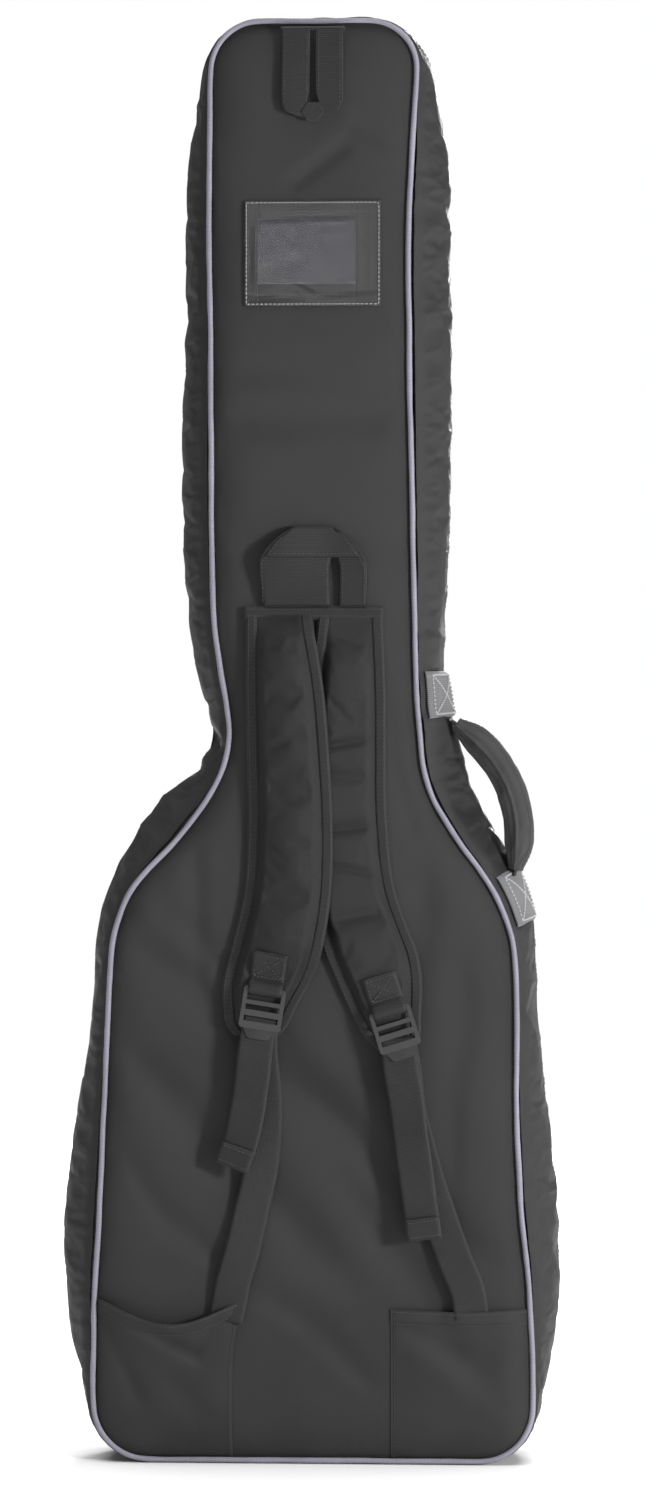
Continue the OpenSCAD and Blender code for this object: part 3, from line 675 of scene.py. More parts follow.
PANEL = cloth("panel_weave", (0.0175, 0.0173, 0.017), rough=0.52, sheen=0.03, wear=0.35, vary=0.22)
PAD = cloth("pad_weave", (0.011, 0.0109, 0.0108), rough=0.55, sheen=0.03, wear=0.35, vary=0.2)
SIDE = cloth("side_weave", (0.014, 0.0139, 0.0138), rough=0.5, sheen=0.03, wear=0.3, vary=0.22)
PIPING = cloth("piping_cloth", (0.225, 0.22, 0.268), pitch=0.0009, depth=0.00015, rough=0.55, sheen=0.05, vary=0.14,
               weave="webbing", rib=0.0011)
TAPE = cloth("zip_tape_twill", (0.022, 0.022, 0.023), pitch=0.0009, weave="twill", vary=0.1)
COIL = hard("zip_coil_nylon", (0.016, 0.016, 0.017), 0.5, wear=0.1)
METAL = hard("zip_black_metal", (0.045, 0.045, 0.048), 0.36, metal=0.8, wear=0.5)
WEBBING = cloth("black_webbing", (0.013, 0.013, 0.0133), pitch=0.0011, depth=0.00035, weave="webbing", rib=0.0015,
                rough=0.55, vary=0.2, wear=0.4, sheen=0.04)
GREY_WEB = cloth("grey_webbing", (0.135, 0.135, 0.139), pitch=0.0011, depth=0.0004, weave="webbing", rib=0.0016,
                 rough=0.75, vary=0.12)
BINDING = cloth("edge_binding", (0.0155, 0.0155, 0.016), pitch=0.0008, depth=0.00025, weave="webbing", rib=0.0009,
                rough=0.62, vary=0.1)
GRIP = cloth("grip_cloth", (0.036, 0.036, 0.037), pitch=0.0010, depth=0.0003, rough=0.55, sheen=0.08, vary=0.25,
             wear=0.7)
LINING = cloth("plush_lining", (0.16, 0.16, 0.17), pitch=0.0025, depth=0.0009, weave="plush", rough=0.95, sheen=0.4,
               sheen_rough=0.6, vary=0.15, coords="Object")
PLASTIC = hard("lock_plastic", (0.022, 0.022, 0.023), 0.42, wear=0.2)
THREAD = cloth("thread", (0.045, 0.045, 0.047), pitch=0.0006, weave="twill", rough=0.55, vary=0.15, depth=0.0001)
PALE_THREAD = cloth("pale_thread", (0.36, 0.36, 0.37), pitch=0.0006, weave="twill", rough=0.6, vary=0.1, depth=0.0001)
CLEAR = vinyl("clear_vinyl", (0.16, 0.16, 0.165), 0.10, 0.1)
CLOUDED = vinyl("clouded_vinyl", (0.036, 0.035, 0.046), 0.6, 0.22)


# ---------------------------------------------------------------- panels
def edge_distance(outline, inset, x, z):
    """How far each point of a panel lies inside its edge."""
    ring = outline.ring(inset)
    tree = KDTree(len(ring))
    for k, (a, b) in enumerate(ring):
        tree.insert((a, 0, b), k)
    tree.balance()
    flat = [tree.find((a, 0, b))[2] for a, b in zip(x.ravel(), z.ravel())]
    return np.array(flat).reshape(x.shape)


def panel_grid(outline, inset, step_z, columns, edge_power=0.82):
    """x and z over a panel, rows upward and columns left to right, closer together at the sides."""
    z, left, right = outline.rows(inset, step_z)
    t = np.linspace(-1, 1, columns)
    t = np.sign(t) * np.abs(t) ** edge_power
    x = left[:, None] + (right - left)[:, None] * (t[None, :] + 1) / 2
    return x, np.broadcast_to(z[:, None], x.shape).copy()


def creases(x, z, lines):
    """Soft folds: [x0, z0, x1, z1, width, depth] in mm; a positive depth is a valley."""
    total = np.zeros_like(x)
    for x0, z0, x1, z1, width, depth in lines:
        a, b = np.array([x0, z0]) * MM, np.array([x1, z1]) * MM
        d = b - a
        run = np.linalg.norm(d)
        d = d / run
        along = ((x - a[0]) * d[0] + (z - a[1]) * d[1]) / run
        off = (x - a[0]) * -d[1] + (z - a[1]) * d[0]
        off = off + 0.006 * noise(along * run / 0.06, seed=int(abs(x0) + abs(z0)) + 3)
        ends = smooth((along + 0.15) / 0.35) * smooth((1.15 - along) / 0.35)
        total -= depth * MM * gauss(off, width * MM) * ends
    return total


BACK_FOLDS = (
    (-80, 862, 78, 872, 16, 1.5), (-82, 905, 70, 893, 13, 0.8), (30, 1100, -20, 1062, 7, 1.1),
    (34, 1118, 78, 1086, 8, 0.7), (-78, 760, 60, 748, 14, 0.7), (50, 960, 82, 915, 8, 0.9),
    (-150, 440, 60, 250, 15, 2.0), (-120, 470, 20, 300, 10, 1.1), (-165, 350, 30, 150, 18, 2.2),
    (-40, 330, 150, 160, 17, 1.8), (20, 250, 150, 60, 14, 1.6), (-160, 250, -60, 150, 10, 1.2),
    (100, 500, 60, 300, 15, 1.6), (130, 420, 110, 200, 13, 1.3), (-100, 530, -90, 380, 9, 1.1),
    (60, 640, 85, 520, 9, 1.0), (-72, 640, -80, 560, 8, 1.0), (-40, 150, 60, 60, 10, 1.0),
)
FRONT_FOLDS = (
    (-80, 620, 70, 560, 14, 1.6), (-90, 540, 100, 470, 14, 1.6), (-120, 470, 40, 430, 10, 1.2),
    (-70, 1130, 70, 1150, 10, 1.0), (60, 700, 80, 560, 9, 1.0), (150, 380, 120, 120, 12, 1.0),
)


def padded_panel(outline, side, folds, seed=40):
    """The front or back panel: it rolls in to the piping all round and swells over its foam."""
    tuck = 4.2 * MM
    x, z = panel_grid(outline, tuck, 0.005, 76)
    d = edge_distance(outline, tuck, x, z)
    rise = -2.2 * MM + (CROWN + 1.9 * MM) * (1 - np.exp(-((d / 0.0125) ** 0.95)))
    soft = smooth(d / 0.03)
    rise = rise + soft * (1.7 * creases(x, z, folds) + 0.7 * MM * fbm(x / 0.07, z / 0.07, seed=seed))
    pucker = 0.5 * MM * noise(x / 0.008, z / 0.008, seed=seed + 1) * gauss(d - 0.006, 0.006)
    base = np.stack([x, side * (FRONT_Y + rise + pucker), z], -1)
    _, f, uv, _ = grid(base, x, z, flip=side > 0)
    pin = np.clip(1 - d / 0.012, 0, 1)
    moved = simulate(base, f, pin, pressure=3.5, shrink=-0.012, cap=0.0035, frames=16, bending=0.8)
    moved = moved.reshape(base.shape)
    limit = FRONT_Y + CROWN + 0.2 * MM
    moved[..., 1] = np.clip(moved[..., 1], -limit, limit)
    return moved.reshape(-1, 3), f, uv, 0


back_part = padded_panel(RIM, -1, BACK_FOLDS)
piece("back_panel_cloth", [back_part], PANEL, "case", ("back_panel", "back_foam"))
front_part = padded_panel(RIM, 1, FRONT_FOLDS, seed=60)
piece("front_panel_cloth", [front_part], PANEL, "lid", ("front_panel", "front_foam"))


def depth_on(tree, x, z, miss):
    """Depth of a surface at x, z, looking from the strap side; miss where there is none."""
    out = []
    for a, b in zip(np.ravel(x), np.ravel(z)):
        hit = tree.ray_cast(Vector((a, -0.2, b)), Vector((0, 1, 0)), 0.4)
        out.append(hit[0].y if hit[0] else miss)
    return np.array(out).reshape(np.shape(x))


BACK_TREE = BVHTree.FromPolygons(back_part[0].tolist(), back_part[1])


def back_y(x, z):
    return depth_on(BACK_TREE, x, z, BACK_Y)


def piping(name, outline, y, body, replaces):
    """A cord in a folded strip of cloth, round an outline."""
    ring = outline.ring(PIPE_R)
    out = outline.out()
    depth = tiled((0.0, 1.0, 0.0), outline.count)
    c = np.stack([ring[:, 0], np.full(outline.count, y), ring[:, 1]], 1)
    s = outline.s[:-1]
    r = PIPE_R * (0.86 + 0.05 * noise(s / 0.02, seed=31) + 0.03 * noise(s / 0.004, seed=32))
    c = c + out * (0.35 * MM * noise(s / 0.03, seed=33))[:, None]
    parts = [sweep(c, out, depth, r, r, 12, closed=True)]
    return piece(name, parts, PIPING, body, replaces)


piping("back_piping_cord", RIM, BACK_Y - 0.4 * MM, "case", ("back_piping",))
piping("front_piping_cord", RIM, FRONT_Y + 0.4 * MM, "lid", ("front_piping",))

# side wall of the case, side wall of the lid
ALL = np.arange(RIM.count)
WALL_TOP = high("gusset_shell").y
LID_LOW = low("lid_gusset_shell").y


def wall_piece(name, y0, y1, columns, body, replaces, hem_at_end, lip):
    """A band of side wall that tucks under the piping at one edge and is hemmed at the zip."""
    y = np.linspace(y0, y1, columns)
    p = wall(ALL, y)
    out = RIM.out()
    drop = np.zeros(columns)
    order = slice(None) if hem_at_end else slice(None, None, -1)
    drop[order][:3] = np.array([-3.4, -1.2, -0.2]) * MM
    drop[order][-2:] = np.array([0.0, -1.0]) * MM
    p = p + out[:, None, :] * drop[None, :, None]
    _, f, uv, _ = grid(p, RIM.s, y, round_u=True)
    pin = np.zeros(p.shape[:2])
    pin[:, :2] = pin[:, -2:] = 1
    moved = simulate(p, f, pin.ravel(), pressure=2.5, shrink=-0.012, cap=0.004, frames=14, bending=0.8)
    p = moved.reshape(p.shape)
    p[..., 1] = np.clip(p[..., 1], y0 - lip, y1 + lip)
    parts = [(p.reshape(-1, 3), f, uv, 0)]
    row = -4 if hem_at_end else 3
    line = np.vstack([p[:, row], p[:1, row]])
    up = np.vstack([out, out[:1]])
    parts.append(stitches(line, up, pitch=0.0042, part=1))
    piece(name, parts, [SIDE, THREAD], body, replaces)


wall_piece("case_side_wall", BACK_Y + 2.6 * MM, WALL_TOP, 26, "case", ("gusset_shell", "gusset_foam"), True, 0.3 * MM)
wall_piece("lid_side_wall", LID_LOW, FRONT_Y - 2.6 * MM, 12, "lid", ("lid_gusset_shell",), False, 0.2 * MM)


# ---------------------------------------------------------------- zip
def zip_run():
    """Outline samples that the zip follows: all round but for the fold on the handle side."""
    z0, z1 = low("hinge_strip").z, high("hinge_strip").z
    fold = (RIM.p[:, 0] > 0.1) & (RIM.p[:, 1] > z0 + 2 * MM) & (RIM.p[:, 1] < z1 - 2 * MM)
    first = rim_index(1, z1 - 2 * MM)
    order = (np.arange(RIM.count) + first) % RIM.count
    return order[~fold[order]]


RUN = zip_run()
TOOTH = 2.6 * MM  # from one coil tooth to the next


def tape(name, y0, y1, body, replaces, hem):
    """Half of the zip's tape: flat, with a raised woven cord beside the teeth."""
    y = np.linspace(y0, y1, 9)
    p = wall(RUN, y, proud=-0.9 * MM, detail=0.0)
    out = RIM.out(RUN)
    lift = 0.35 * MM * gauss(y - hem, 0.0011)
    ripple = 0.3 * MM * noise(RIM.s[RUN] / 0.03, seed=71)
    p = p + out[:, None, :] * (lift[None, :] + ripple[:, None])[..., None]
    back = p - out[:, None, :] * 0.7 * MM
    ring, across = two_sided(p, back), there_and_back(y)
    run = lengths(p[:, 4])
    return piece(name, [grid(ring, run, across, round_v=True)], TAPE, body, replaces)


def teeth(name, y0, y1, body, replaces, phase):
    """One side's row of coil teeth, set between the other side's."""
    y = np.array([y0, y1])
    line = wall(RUN, y, proud=-0.75 * MM, detail=0.0)
    run = lengths(line[:, 0])
    t = np.arange(phase * TOOTH, run[-1], TOOTH)
    at = lambda k: np.stack([np.interp(t, run, line[:, k, c]) for c in range(3)], 1)
    n = RIM.out(RUN)
    up = np.stack([np.interp(t, run, n[:, c]) for c in range(3)], 1)
    return piece(name, [capsules(at(0), at(1), up, 0.62 * MM, dip=0.2)], COIL, body, replaces)


COIL_Y = (high("zip_coil_base").y + low("zip_coil_lid").y) / 2
TAPE_LOW, TAPE_HIGH = low("zip_tape_base").y - 1.2 * MM, high("zip_tape_lid").y + 1.2 * MM
tape("case_zip_tape", TAPE_LOW, COIL_Y - 0.7 * MM, "case", ("zip_tape_base",), COIL_Y - 3.3 * MM)
tape("lid_zip_tape", TAPE_HIGH, COIL_Y + 0.7 * MM, "lid", ("zip_tape_lid",), COIL_Y + 3.3 * MM)
teeth("case_zip_teeth", low("zip_coil_base").y, COIL_Y + 0.5 * MM, "case", ("zip_coil_base",), 0.25)
teeth("lid_zip_teeth", high("zip_coil_lid").y, COIL_Y - 0.5 * MM, "lid", ("zip_coil_lid",), 0.75)


def fold_strip():
    """The stretch of side wall that folds when the lid opens."""
    z0, z1 = low("hinge_strip").z - 3 * MM, high("hinge_strip").z + 3 * MM
    i = np.flatnonzero((RIM.p[:, 0] > 0.1) & (RIM.p[:, 1] > z0) & (RIM.p[:, 1] < z1))
    y = np.linspace(low("hinge_strip").y - 1.5 * MM, LID_LOW + 1.5 * MM, 17)
    p = wall(i, y, proud=-0.9 * MM, detail=0.0)
    out = RIM.out(i)
    off = 0.5 * MM * noise(RIM.s[i] / 0.02, seed=81)[:, None] * np.sin(PI * np.linspace(0, 1, 17))[None, :]
    p = p + out[:, None, :] * off[..., None]
    back = p - out[:, None, :] * 1.2 * MM
    ring, across = two_sided(p, back), there_and_back(y)
    parts = [grid(ring, lengths(p[:, 8]), across, round_v=True)]
    obj = piece("fold_strip", parts, SIDE, None, ("hinge_strip",))
    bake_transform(obj)


fold_strip()


# ---------------------------------------------------------------- lining and rims
def lining():
    floor_y = high("back_lining").y
    x, z = panel_grid(RIM, 6 * MM, 0.012, 34)
    d = edge_distance(RIM, 6 * MM, x, z)
    quilt = 1.2 * MM * fbm(x / 0.09, z / 0.09, seed=90) * smooth(d / 0.03)
    y = floor_y - 0.6 * MM + quilt + 3 * MM * np.exp(-d / 0.01)
    base = grid(np.stack([x, y, z], -1), x, z, flip=True)
    i = ALL[::4]
    ys = np.linspace(floor_y - 1 * MM, WALL_TOP, 12)
    side = wall(i, ys, proud=-10.0 * MM, detail=0.0)
    n = RIM.out(i)
    soft = 0.8 * MM * fbm(RIM.s[i][:, None] / 0.05, ys[None, :] / 0.03, seed=91)
    side = side + n[:, None, :] * soft[..., None]
    s = np.append(RIM.s[i], RIM.s[-1])
    parts = [base, grid(side, s, ys, round_u=True, flip=True)]
    piece("case_lining", parts, LINING, "case", ("back_lining", "gusset_lining"))
    # bound rim between the lining and the outer cloth
    wide = 9.4 * MM
    c = wall(i, np.array([WALL_TOP - 0.2 * MM]), proud=-1.4 * MM - wide / 2, detail=0.0)[:, 0]
    dep = tiled((0.0, 1.0, 0.0), len(i))
    piece("case_rim_binding", [sweep(c, n, dep, wide / 2, 1.5 * MM, 12, closed=True)], BINDING, "case")

    lid_y = low("front_lining").y
    y = lid_y + 0.6 * MM - quilt - 3 * MM * np.exp(-d / 0.01)
    base = grid(np.stack([x, y, z], -1), x, z)
    ys = np.linspace(LID_LOW, lid_y + 2 * MM, 6)
    side = wall(i, ys, proud=-4.8 * MM, detail=0.0)
    parts = [base, grid(side, s, ys, round_u=True, flip=True)]
    piece("lid_lining", parts, LINING, "lid", ("front_lining", "lid_gusset_lining"))
    wide = 3.6 * MM
    c = wall(i, np.array([LID_LOW + 0.2 * MM]), proud=-1.2 * MM - wide / 2, detail=0.0)[:, 0]
    piece("lid_rim_binding", [sweep(c, n, dep, wide / 2, 1.2 * MM, 12, closed=True)], BINDING, "lid")


lining()


# ---------------------------------------------------------------- webbing pieces on the back
def frame_of(line, out_hint=(0, -1, 0)):
    """Unit vectors across and out of a band that runs along a line."""
    along = unit(np.gradient(line, axis=0))
    out = np.tile(np.array(out_hint, float), (len(line), 1))
    out = unit(out - along * (out * along).sum(1, keepdims=True))
    return unit(np.cross(along, out)), out


def x_box(origin, across, up, out, width, height, margin=2.2 * MM, part=1, pitch=0.0026, radius=0.0004):
    """Stitched box with a cross in it. origin is the middle of its lower edge."""
    w, h = width / 2 - margin, height - margin
    corner = lambda a, b: origin + across * a + up * b + out * 0.1 * MM
    parts = []
    for loop in boxed_cross(-w, margin, w, h):
        line = polyline([corner(a, b) for a, b in loop], 12)
        parts.append(stitches(line, tiled(out, len(line)), pitch=pitch, radius=radius, part=part))
    return parts


def sealed(mesh, rows, cols):
    """Closes both open ends of a flattened tube whose second half of columns lies under the first."""
    v, f, uv, part = mesh
    extra, corners = [], []
    for row, order in ((0, 1), (rows - 1, -1)):
        for k in range(cols // 2 - 1):
            quad = [k, k + 1, cols - 2 - k, cols - 1 - k][::order]
            extra.append([row * cols + q for q in quad])
            corners += [[v[row * cols + q][0], v[row * cols + q][2]] for q in quad]
    return v, f + extra, np.vstack([uv, corners]), part


def plate(z0, z1, left, right, depth, thick, side=-1, cols=14, step=0.004, edge=0.0012, part=0):
    """A flat soft piece between two heights, with rounded edges. left, right and depth are functions."""
    near = edge * np.array([0, 0.1, 0.35, 0.7, 1.0])
    count = max(3, int((z1 - z0) / step))
    z = np.concatenate([z0 + near, np.linspace(z0 + edge, z1 - edge, count)[1:-1], z1 - near[::-1]])
    a, b = left(z), right(z)
    inside = np.linspace(0, 1, cols)[1:-1]
    x = np.concatenate(
        [a[:, None] + near, (a + edge)[:, None] + (b - a - 2 * edge)[:, None] * inside, b[:, None] - near[::-1]], 1
    )
    zz = np.broadcast_to(z[:, None], x.shape)
    turn = lambda d: np.sqrt(np.maximum(1 - (1 - np.clip(d / edge, 0, 1)) ** 2, 0))
    full = turn(np.minimum(x - a[:, None], b[:, None] - x)) * turn(np.minimum(zz - z0, z1 - zz))
    y = depth(x, zz)
    front = np.stack([x, y + side * thick * np.maximum(full, 0.03), zz], -1)
    back = np.stack([x, y, zz], -1)
    ring = two_sided(front, back)
    faces = grid(ring, there_and_back(zz), there_and_back(x), round_v=True, flip=side > 0, part=part)
    return sealed(faces, *ring.shape[:2])


def level(value):
    return lambda *a: np.full(np.shape(a[0]), value)


def line_on(points, depth, side=-1):
    """Points given as x, z in mm, laid on a surface and closely spaced, with their normals."""
    p = polyline(np.array(points, float) * MM)
    return np.stack([p[:, 0], depth(p[:, 0], p[:, 1]), p[:, 1]], 1), tiled((0, side, 0), len(p))


# ---------------------------------------------------------------- shoulder straps
BAND = 8.6 * MM  # width of the bound edge


def left_lift(s, z):
    """The left strap lies over the right one, so its inner side is lifted where they cross."""
    return (PAD_T + 0.8 * MM) * smooth((s + 1) / 1.25) * smooth((z - 0.4) / 0.036) * smooth((SEAM_Z - z) / 0.022)


def strap(side, lifted, wrinkles, seed):
    node = f"strap_pad_{side}"
    body = f"strap_{side}"
    rows = rows_of(node)
    z0, z1 = rows[0, 0], rows[-1, 0]
    z = np.linspace(z1, z0, 150)
    left, right = curve(rows[:, 0], rows[:, 1], z), curve(rows[:, 0], rows[:, 2], z)
    width = (right - left)[:, None]
    zz = z[:, None]

    def section(t):
        """Front and back depth of the pad at shares t of its width."""
        e = np.minimum(t, 1 - t) * width
        lift = left_lift(2 * t - 1, zz) if lifted else 0 * e
        taper = smooth((SEAM_Z - zz) / 0.05) * (0.35 + 0.65 * smooth((zz - z0) / 0.035))
        full = 2.6 * MM + (PAD_T - 2.6 * MM) * taper
        band = np.minimum(3.6 * MM, full)
        upper = band + (full - band) * smooth((e - BAND) / 0.0085) ** 0.75 - 0.7 * MM * gauss(e - BAND, 0.0012)
        turn = np.sqrt(np.maximum(1 - (1 - np.clip(e / 0.0018, 0, 1)) ** 2, 0))
        close = smooth((zz - z0) / 0.003)
        top = upper * (0.5 + 0.5 * turn) * close + 0.9 * MM * (1 - close)
        under = band * 0.5 * (1 - turn) * close + 0.8 * MM * (1 - close)
        return STRAP_Y - lift - top, STRAP_Y - lift - under, e

    t = np.linspace(0, 1, 46)
    t = np.concatenate([[0, 0.006, 0.014], t[1:-1], [0.986, 0.994, 1]])[None, :]
    back_t = np.linspace(0.99, 0.01, 14)[None, :]
    front_y, _, e = section(t)
    _, rear_y, _ = section(back_t)
    x = left[:, None] + width * t
    xb = left[:, None] + width * back_t
    free = smooth((e - BAND - 0.001) / 0.008)
    for at, depth, size, lean in wrinkles:
        across = (t - 0.5) * lean * MM
        front_y = front_y + depth * MM * gauss(zz - at * MM - across, size * MM) * free
    front_y = front_y + 0.45 * MM * fbm(x / 0.03, zz / 0.045, seed=seed) * free
    front_y = front_y + 0.35 * MM * noise(zz / 0.007, t * 9, seed=seed + 1) * gauss(e - BAND - 0.003, 0.003)
    zt, zb = np.broadcast_to(zz, x.shape), np.broadcast_to(zz, xb.shape)
    ring = np.concatenate([np.stack([x, front_y, zt], -1), np.stack([xb, rear_y, zb], -1)], 1)
    run = z1 - z
    across = np.concatenate([t[0], 1 + (0.99 - back_t[0]), [2.0]]) * 0.07
    _, f, uv, _ = grid(ring, run, across, round_v=True)
    pin = np.ones(ring.shape[:2])
    pin[:, : x.shape[1]] = 1 - free * smooth((SEAM_Z - zz) / 0.03)
    moved = simulate(ring, f, pin.ravel(), pressure=3.0, shrink=-0.015, cap=0.002, frames=14, mass=0.2, bending=0.4)
    piece(f"{node}_cloth", [(moved, f, uv, 0)], PAD, body, (node,))
    tree = BVHTree.FromPolygons(moved.tolist(), f)

    # bound edges: a folded strip over each edge, with two rows of stitches
    strips, rows_of_thread = [], []
    k = np.linspace(0, 1, 9)
    for which in (0, 1):
        share = (k[::-1] * (BAND + 0.3 * MM)) / width
        tt = share if which == 0 else 1 - share
        fy, by, _ = section(tt)
        bx = left[:, None] + width * tt
        off = 0.4 * MM
        push = off * (1 if which else -1) * (1 - k[None, ::-1]) ** 6
        front = np.stack([bx + push, fy - off * k[None, ::-1] ** 0.3, np.broadcast_to(zz, bx.shape)], -1)
        rear = np.stack([bx + push, by + 0.1 * MM, np.broadcast_to(zz, bx.shape)], -1)
        body_ring = two_sided(front, rear)
        side_v = np.concatenate([k * BAND, BAND + k * BAND, [0]])
        strips.append(grid(body_ring, run, side_v, round_v=True, flip=bool(which)))
        for inset_e in (1.9 * MM, 7.0 * MM):
            te = (inset_e if which == 0 else width[:, 0] - inset_e) / width[:, 0]
            fy, _, _ = section(te[:, None])
            line = np.stack([left + width[:, 0] * te, fy[:, 0] - 0.42 * MM, z], 1)
            rows_of_thread.append(stitches(line, tiled((0.0, -1, 0), len(line)), pitch=0.0036, radius=0.0003))
    piece(f"strap_binding_{side}_tape", strips, BINDING, body, (f"strap_binding_{side}",))
    piece(f"strap_stitching_{side}", rows_of_thread, THREAD, body)
    return lambda px, pz: depth_on(tree, px, pz, STRAP_Y - PAD_T)


# wrinkles across the pads: [height, depth, width, lean] in mm
LEFT_WRINKLES = (640, 0.6, 9, 8), (560, 0.7, 10, -12), (470, 0.8, 9, 10)
RIGHT_WRINKLES = (598, 1.9, 5, 14), (570, 0.8, 6, -10), (527, 2.2, 4.5, 10), (494, 1.8, 4.5, -16), (455, 0.9, 8, 8)
LEFT_TOP = strap("left", True, LEFT_WRINKLES, 101)
RIGHT_TOP = strap("right", False, RIGHT_WRINKLES, 131)


# ---------------------------------------------------------------- locks, tabs, tails and lower webbing
def lock_frame(side):
    """Middle of the lock's top edge, and its across and up directions."""
    j = JOINTS[f"ladder_lock_{side}_tilt"]
    across = -np.array(j["axis"], float)
    up = np.array([-across[2], 0, across[0]])
    return np.array(j["pos_m"], float) + up * 0.5 * MM, across, up


LOCK_BACK = high("ladder_lock_right").y
LOCK_T = 3.6 * MM


def strap_hardware(side, top_y):
    origin, across, up = lock_frame(side)
    out = np.array([0.0, -1, 0])
    flat = origin * np.array([1, 0, 1])
    body = f"strap_{side}"
    # tab: on the pad, over the lock's top bar, and back behind it
    lay = np.array([29, 26, 22, 18, 14, 10, 7]) * MM
    pts = [flat + up * v for v in lay]
    ys = top_y(np.array([p[0] for p in pts]), np.array([p[2] for p in pts])) - 1.3 * MM
    front = LOCK_BACK - LOCK_T
    line = [p + np.array([0, y, 0]) for p, y in zip(pts, ys)]
    for v, y in ((3, front + 0.6 * MM), (0, front - 1.2 * MM), (-2.4, front - 1.3 * MM), (-4.6, front - 0.2 * MM),
                 (-6, front + 2.4 * MM), (-5.2, LOCK_BACK + 0.9 * MM), (-2, LOCK_BACK + 1.3 * MM),
                 (2, LOCK_BACK + 1.1 * MM)):
        line.append(flat + up * v * MM + np.array([0, y, 0]))
    line = np.array(line)
    run = lengths(line)
    line = curve(run, line, np.linspace(0, run[-1], 46))
    along = unit(np.gradient(line, axis=0))
    a = np.tile(across, (len(line), 1))
    o = unit(np.cross(a, along))
    o = o * np.where(o[:1, 1:2] > 0, -1, 1)
    tab = [ribbon(line, a, o, 28.6 * MM, 1.9 * MM)]
    node = f"strap_tab_{side}"
    piece(f"{node}_webbing", tab, WEBBING, body, (node,))
    x0 = flat + up * 6.5 * MM
    box_pts = x_box(x0, across, up, out, 28 * MM, 22 * MM, part=0, pitch=0.0028, radius=0.00045)
    fixed = []
    for v, f, uv, m in box_pts:
        v = v.copy()
        v[:, 1] += top_y(v[:, 0], v[:, 2]) - 2.45 * MM
        fixed.append((v, f, uv, m))
    piece(f"{node}_stitching", fixed, THREAD, body)


strap_hardware("left", LEFT_TOP)
strap_hardware("right", RIGHT_TOP)


def web_strip(node, name, body, top_extra, wave_size, seed, blend=None, hem=False, bottom_extra=()):
    """A length of webbing along its CAD rows; extra points lead it up into the lock."""
    rows = rows_of(node)[::-1]
    mid = np.stack([(rows[:, 1] + rows[:, 2]) / 2, (rows[:, 3] + rows[:, 4]) / 2, rows[:, 0]], 1)
    mid = np.vstack([np.array(top_extra).reshape(-1, 3), mid, np.array(bottom_extra).reshape(-1, 3)])
    run = lengths(mid)
    count = int(run[-1] / 0.003)
    line = curve(run, mid, np.linspace(0, run[-1], count))
    s = np.linspace(0, run[-1], count)
    line[:, 1] += wave_size * MM * noise(s / 0.05, seed=seed) * smooth(s / 0.03)
    across, out = frame_of(line)
    lean = 0.16 * noise(s / 0.07, seed=seed + 2) * smooth(s / 0.04)
    across, out = unit(across + out * lean[:, None]), unit(out - across * lean[:, None])
    wide = 28.6 * MM * (1 + 0.012 * noise(s / 0.02, seed=seed + 4))
    parts = [ribbon(line, across, out, wide, 1.9 * MM, cols=14)]
    if hem:
        # the end is turned back on itself and sewn across
        n = int(0.022 / 0.003)
        parts.append(ribbon(line[-n:] + out[-n:] * 1.95 * MM, across[-n:], out[-n:], wide[-n:], 1.9 * MM, cols=14))
        for back in (0.004, 0.018):
            k = -1 - int(back / 0.003)
            pts = line[k] + across[k] * np.linspace(-12.5, 12.5, 16)[:, None] * MM + out[k] * 3.0 * MM
            parts.append(stitches(pts, np.tile(out[k], (16, 1)), pitch=0.0028, radius=0.00042, part=1))
    obj = piece(name, parts, [WEBBING, THREAD], None if blend else body, (node,))
    if blend:
        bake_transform(obj)


for side in ("left", "right"):
    origin, _, up = lock_frame(side)
    flat = origin * np.array([1, 0, 1])
    seed = 201 if side == "left" else 211
    through = [flat - up * 24.5 * MM + np.array([0, LOCK_BACK - 1.2 * MM, 0])]
    tail = f"web_tail_{side}"
    web_strip(tail, f"{tail}_webbing", tail, through, 0.8, seed, hem=True)
    behind = [flat - up * 26 * MM + np.array([0, LOCK_BACK + 1.0 * MM, 0])]
    lower = f"lower_web_{side}"
    end = rows_of(lower)[0]
    # the left one runs down into its pocket
    tuck = [((end[1] + end[2]) / 2 - 4 * MM, end[3] + 1.5 * MM, end[0] - 0.018)] if side == "left" else []
    web_strip(lower, f"{lower}_webbing", "case", behind, 1.2, seed + 20, ("case", f"strap_{side}"), bottom_extra=tuck)

# seam tape over the top ends of the straps and the foot of the grab handle
tape_lo, tape_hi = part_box("strap_seam_tape")
parts = [plate(tape_lo.z - 5.5 * MM, tape_hi.z + 4.0 * MM, level(tape_lo.x), level(tape_hi.x),
               lambda x, z: np.full(x.shape, STRAP_Y + 0.4 * MM), 3.4 * MM, cols=40, edge=0.0022)]
for dz in (-3.2, 2.4):
    line, up = line_on([(tape_lo.x / MM + 2, SEAM_Z / MM + dz), (tape_hi.x / MM - 2, SEAM_Z / MM + dz)],
                       lambda x, z: np.full(x.shape, STRAP_Y - 3.05 * MM))
    parts.append(stitches(line, up, pitch=0.003, radius=0.0003, part=1))
piece("strap_seam_binding", parts, [BINDING, THREAD], "case", ("strap_seam_tape",))


# ---------------------------------------------------------------- grab handle and hang loop
def at_z(*pairs):
    """A function of height through x stations given in mm."""
    p = np.array(pairs, float) * MM
    return lambda z, *_: np.interp(z, p[:, 1], p[:, 0])


grab_lo, grab_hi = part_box("grab_handle")


def grab_depth(x, z):
    up = smooth((z - grab_lo.z) / 0.05)
    return STRAP_Y - (1.0 + 4.5 * up * smooth((0.02 - x) / 0.05) + 0.8 * up) * MM


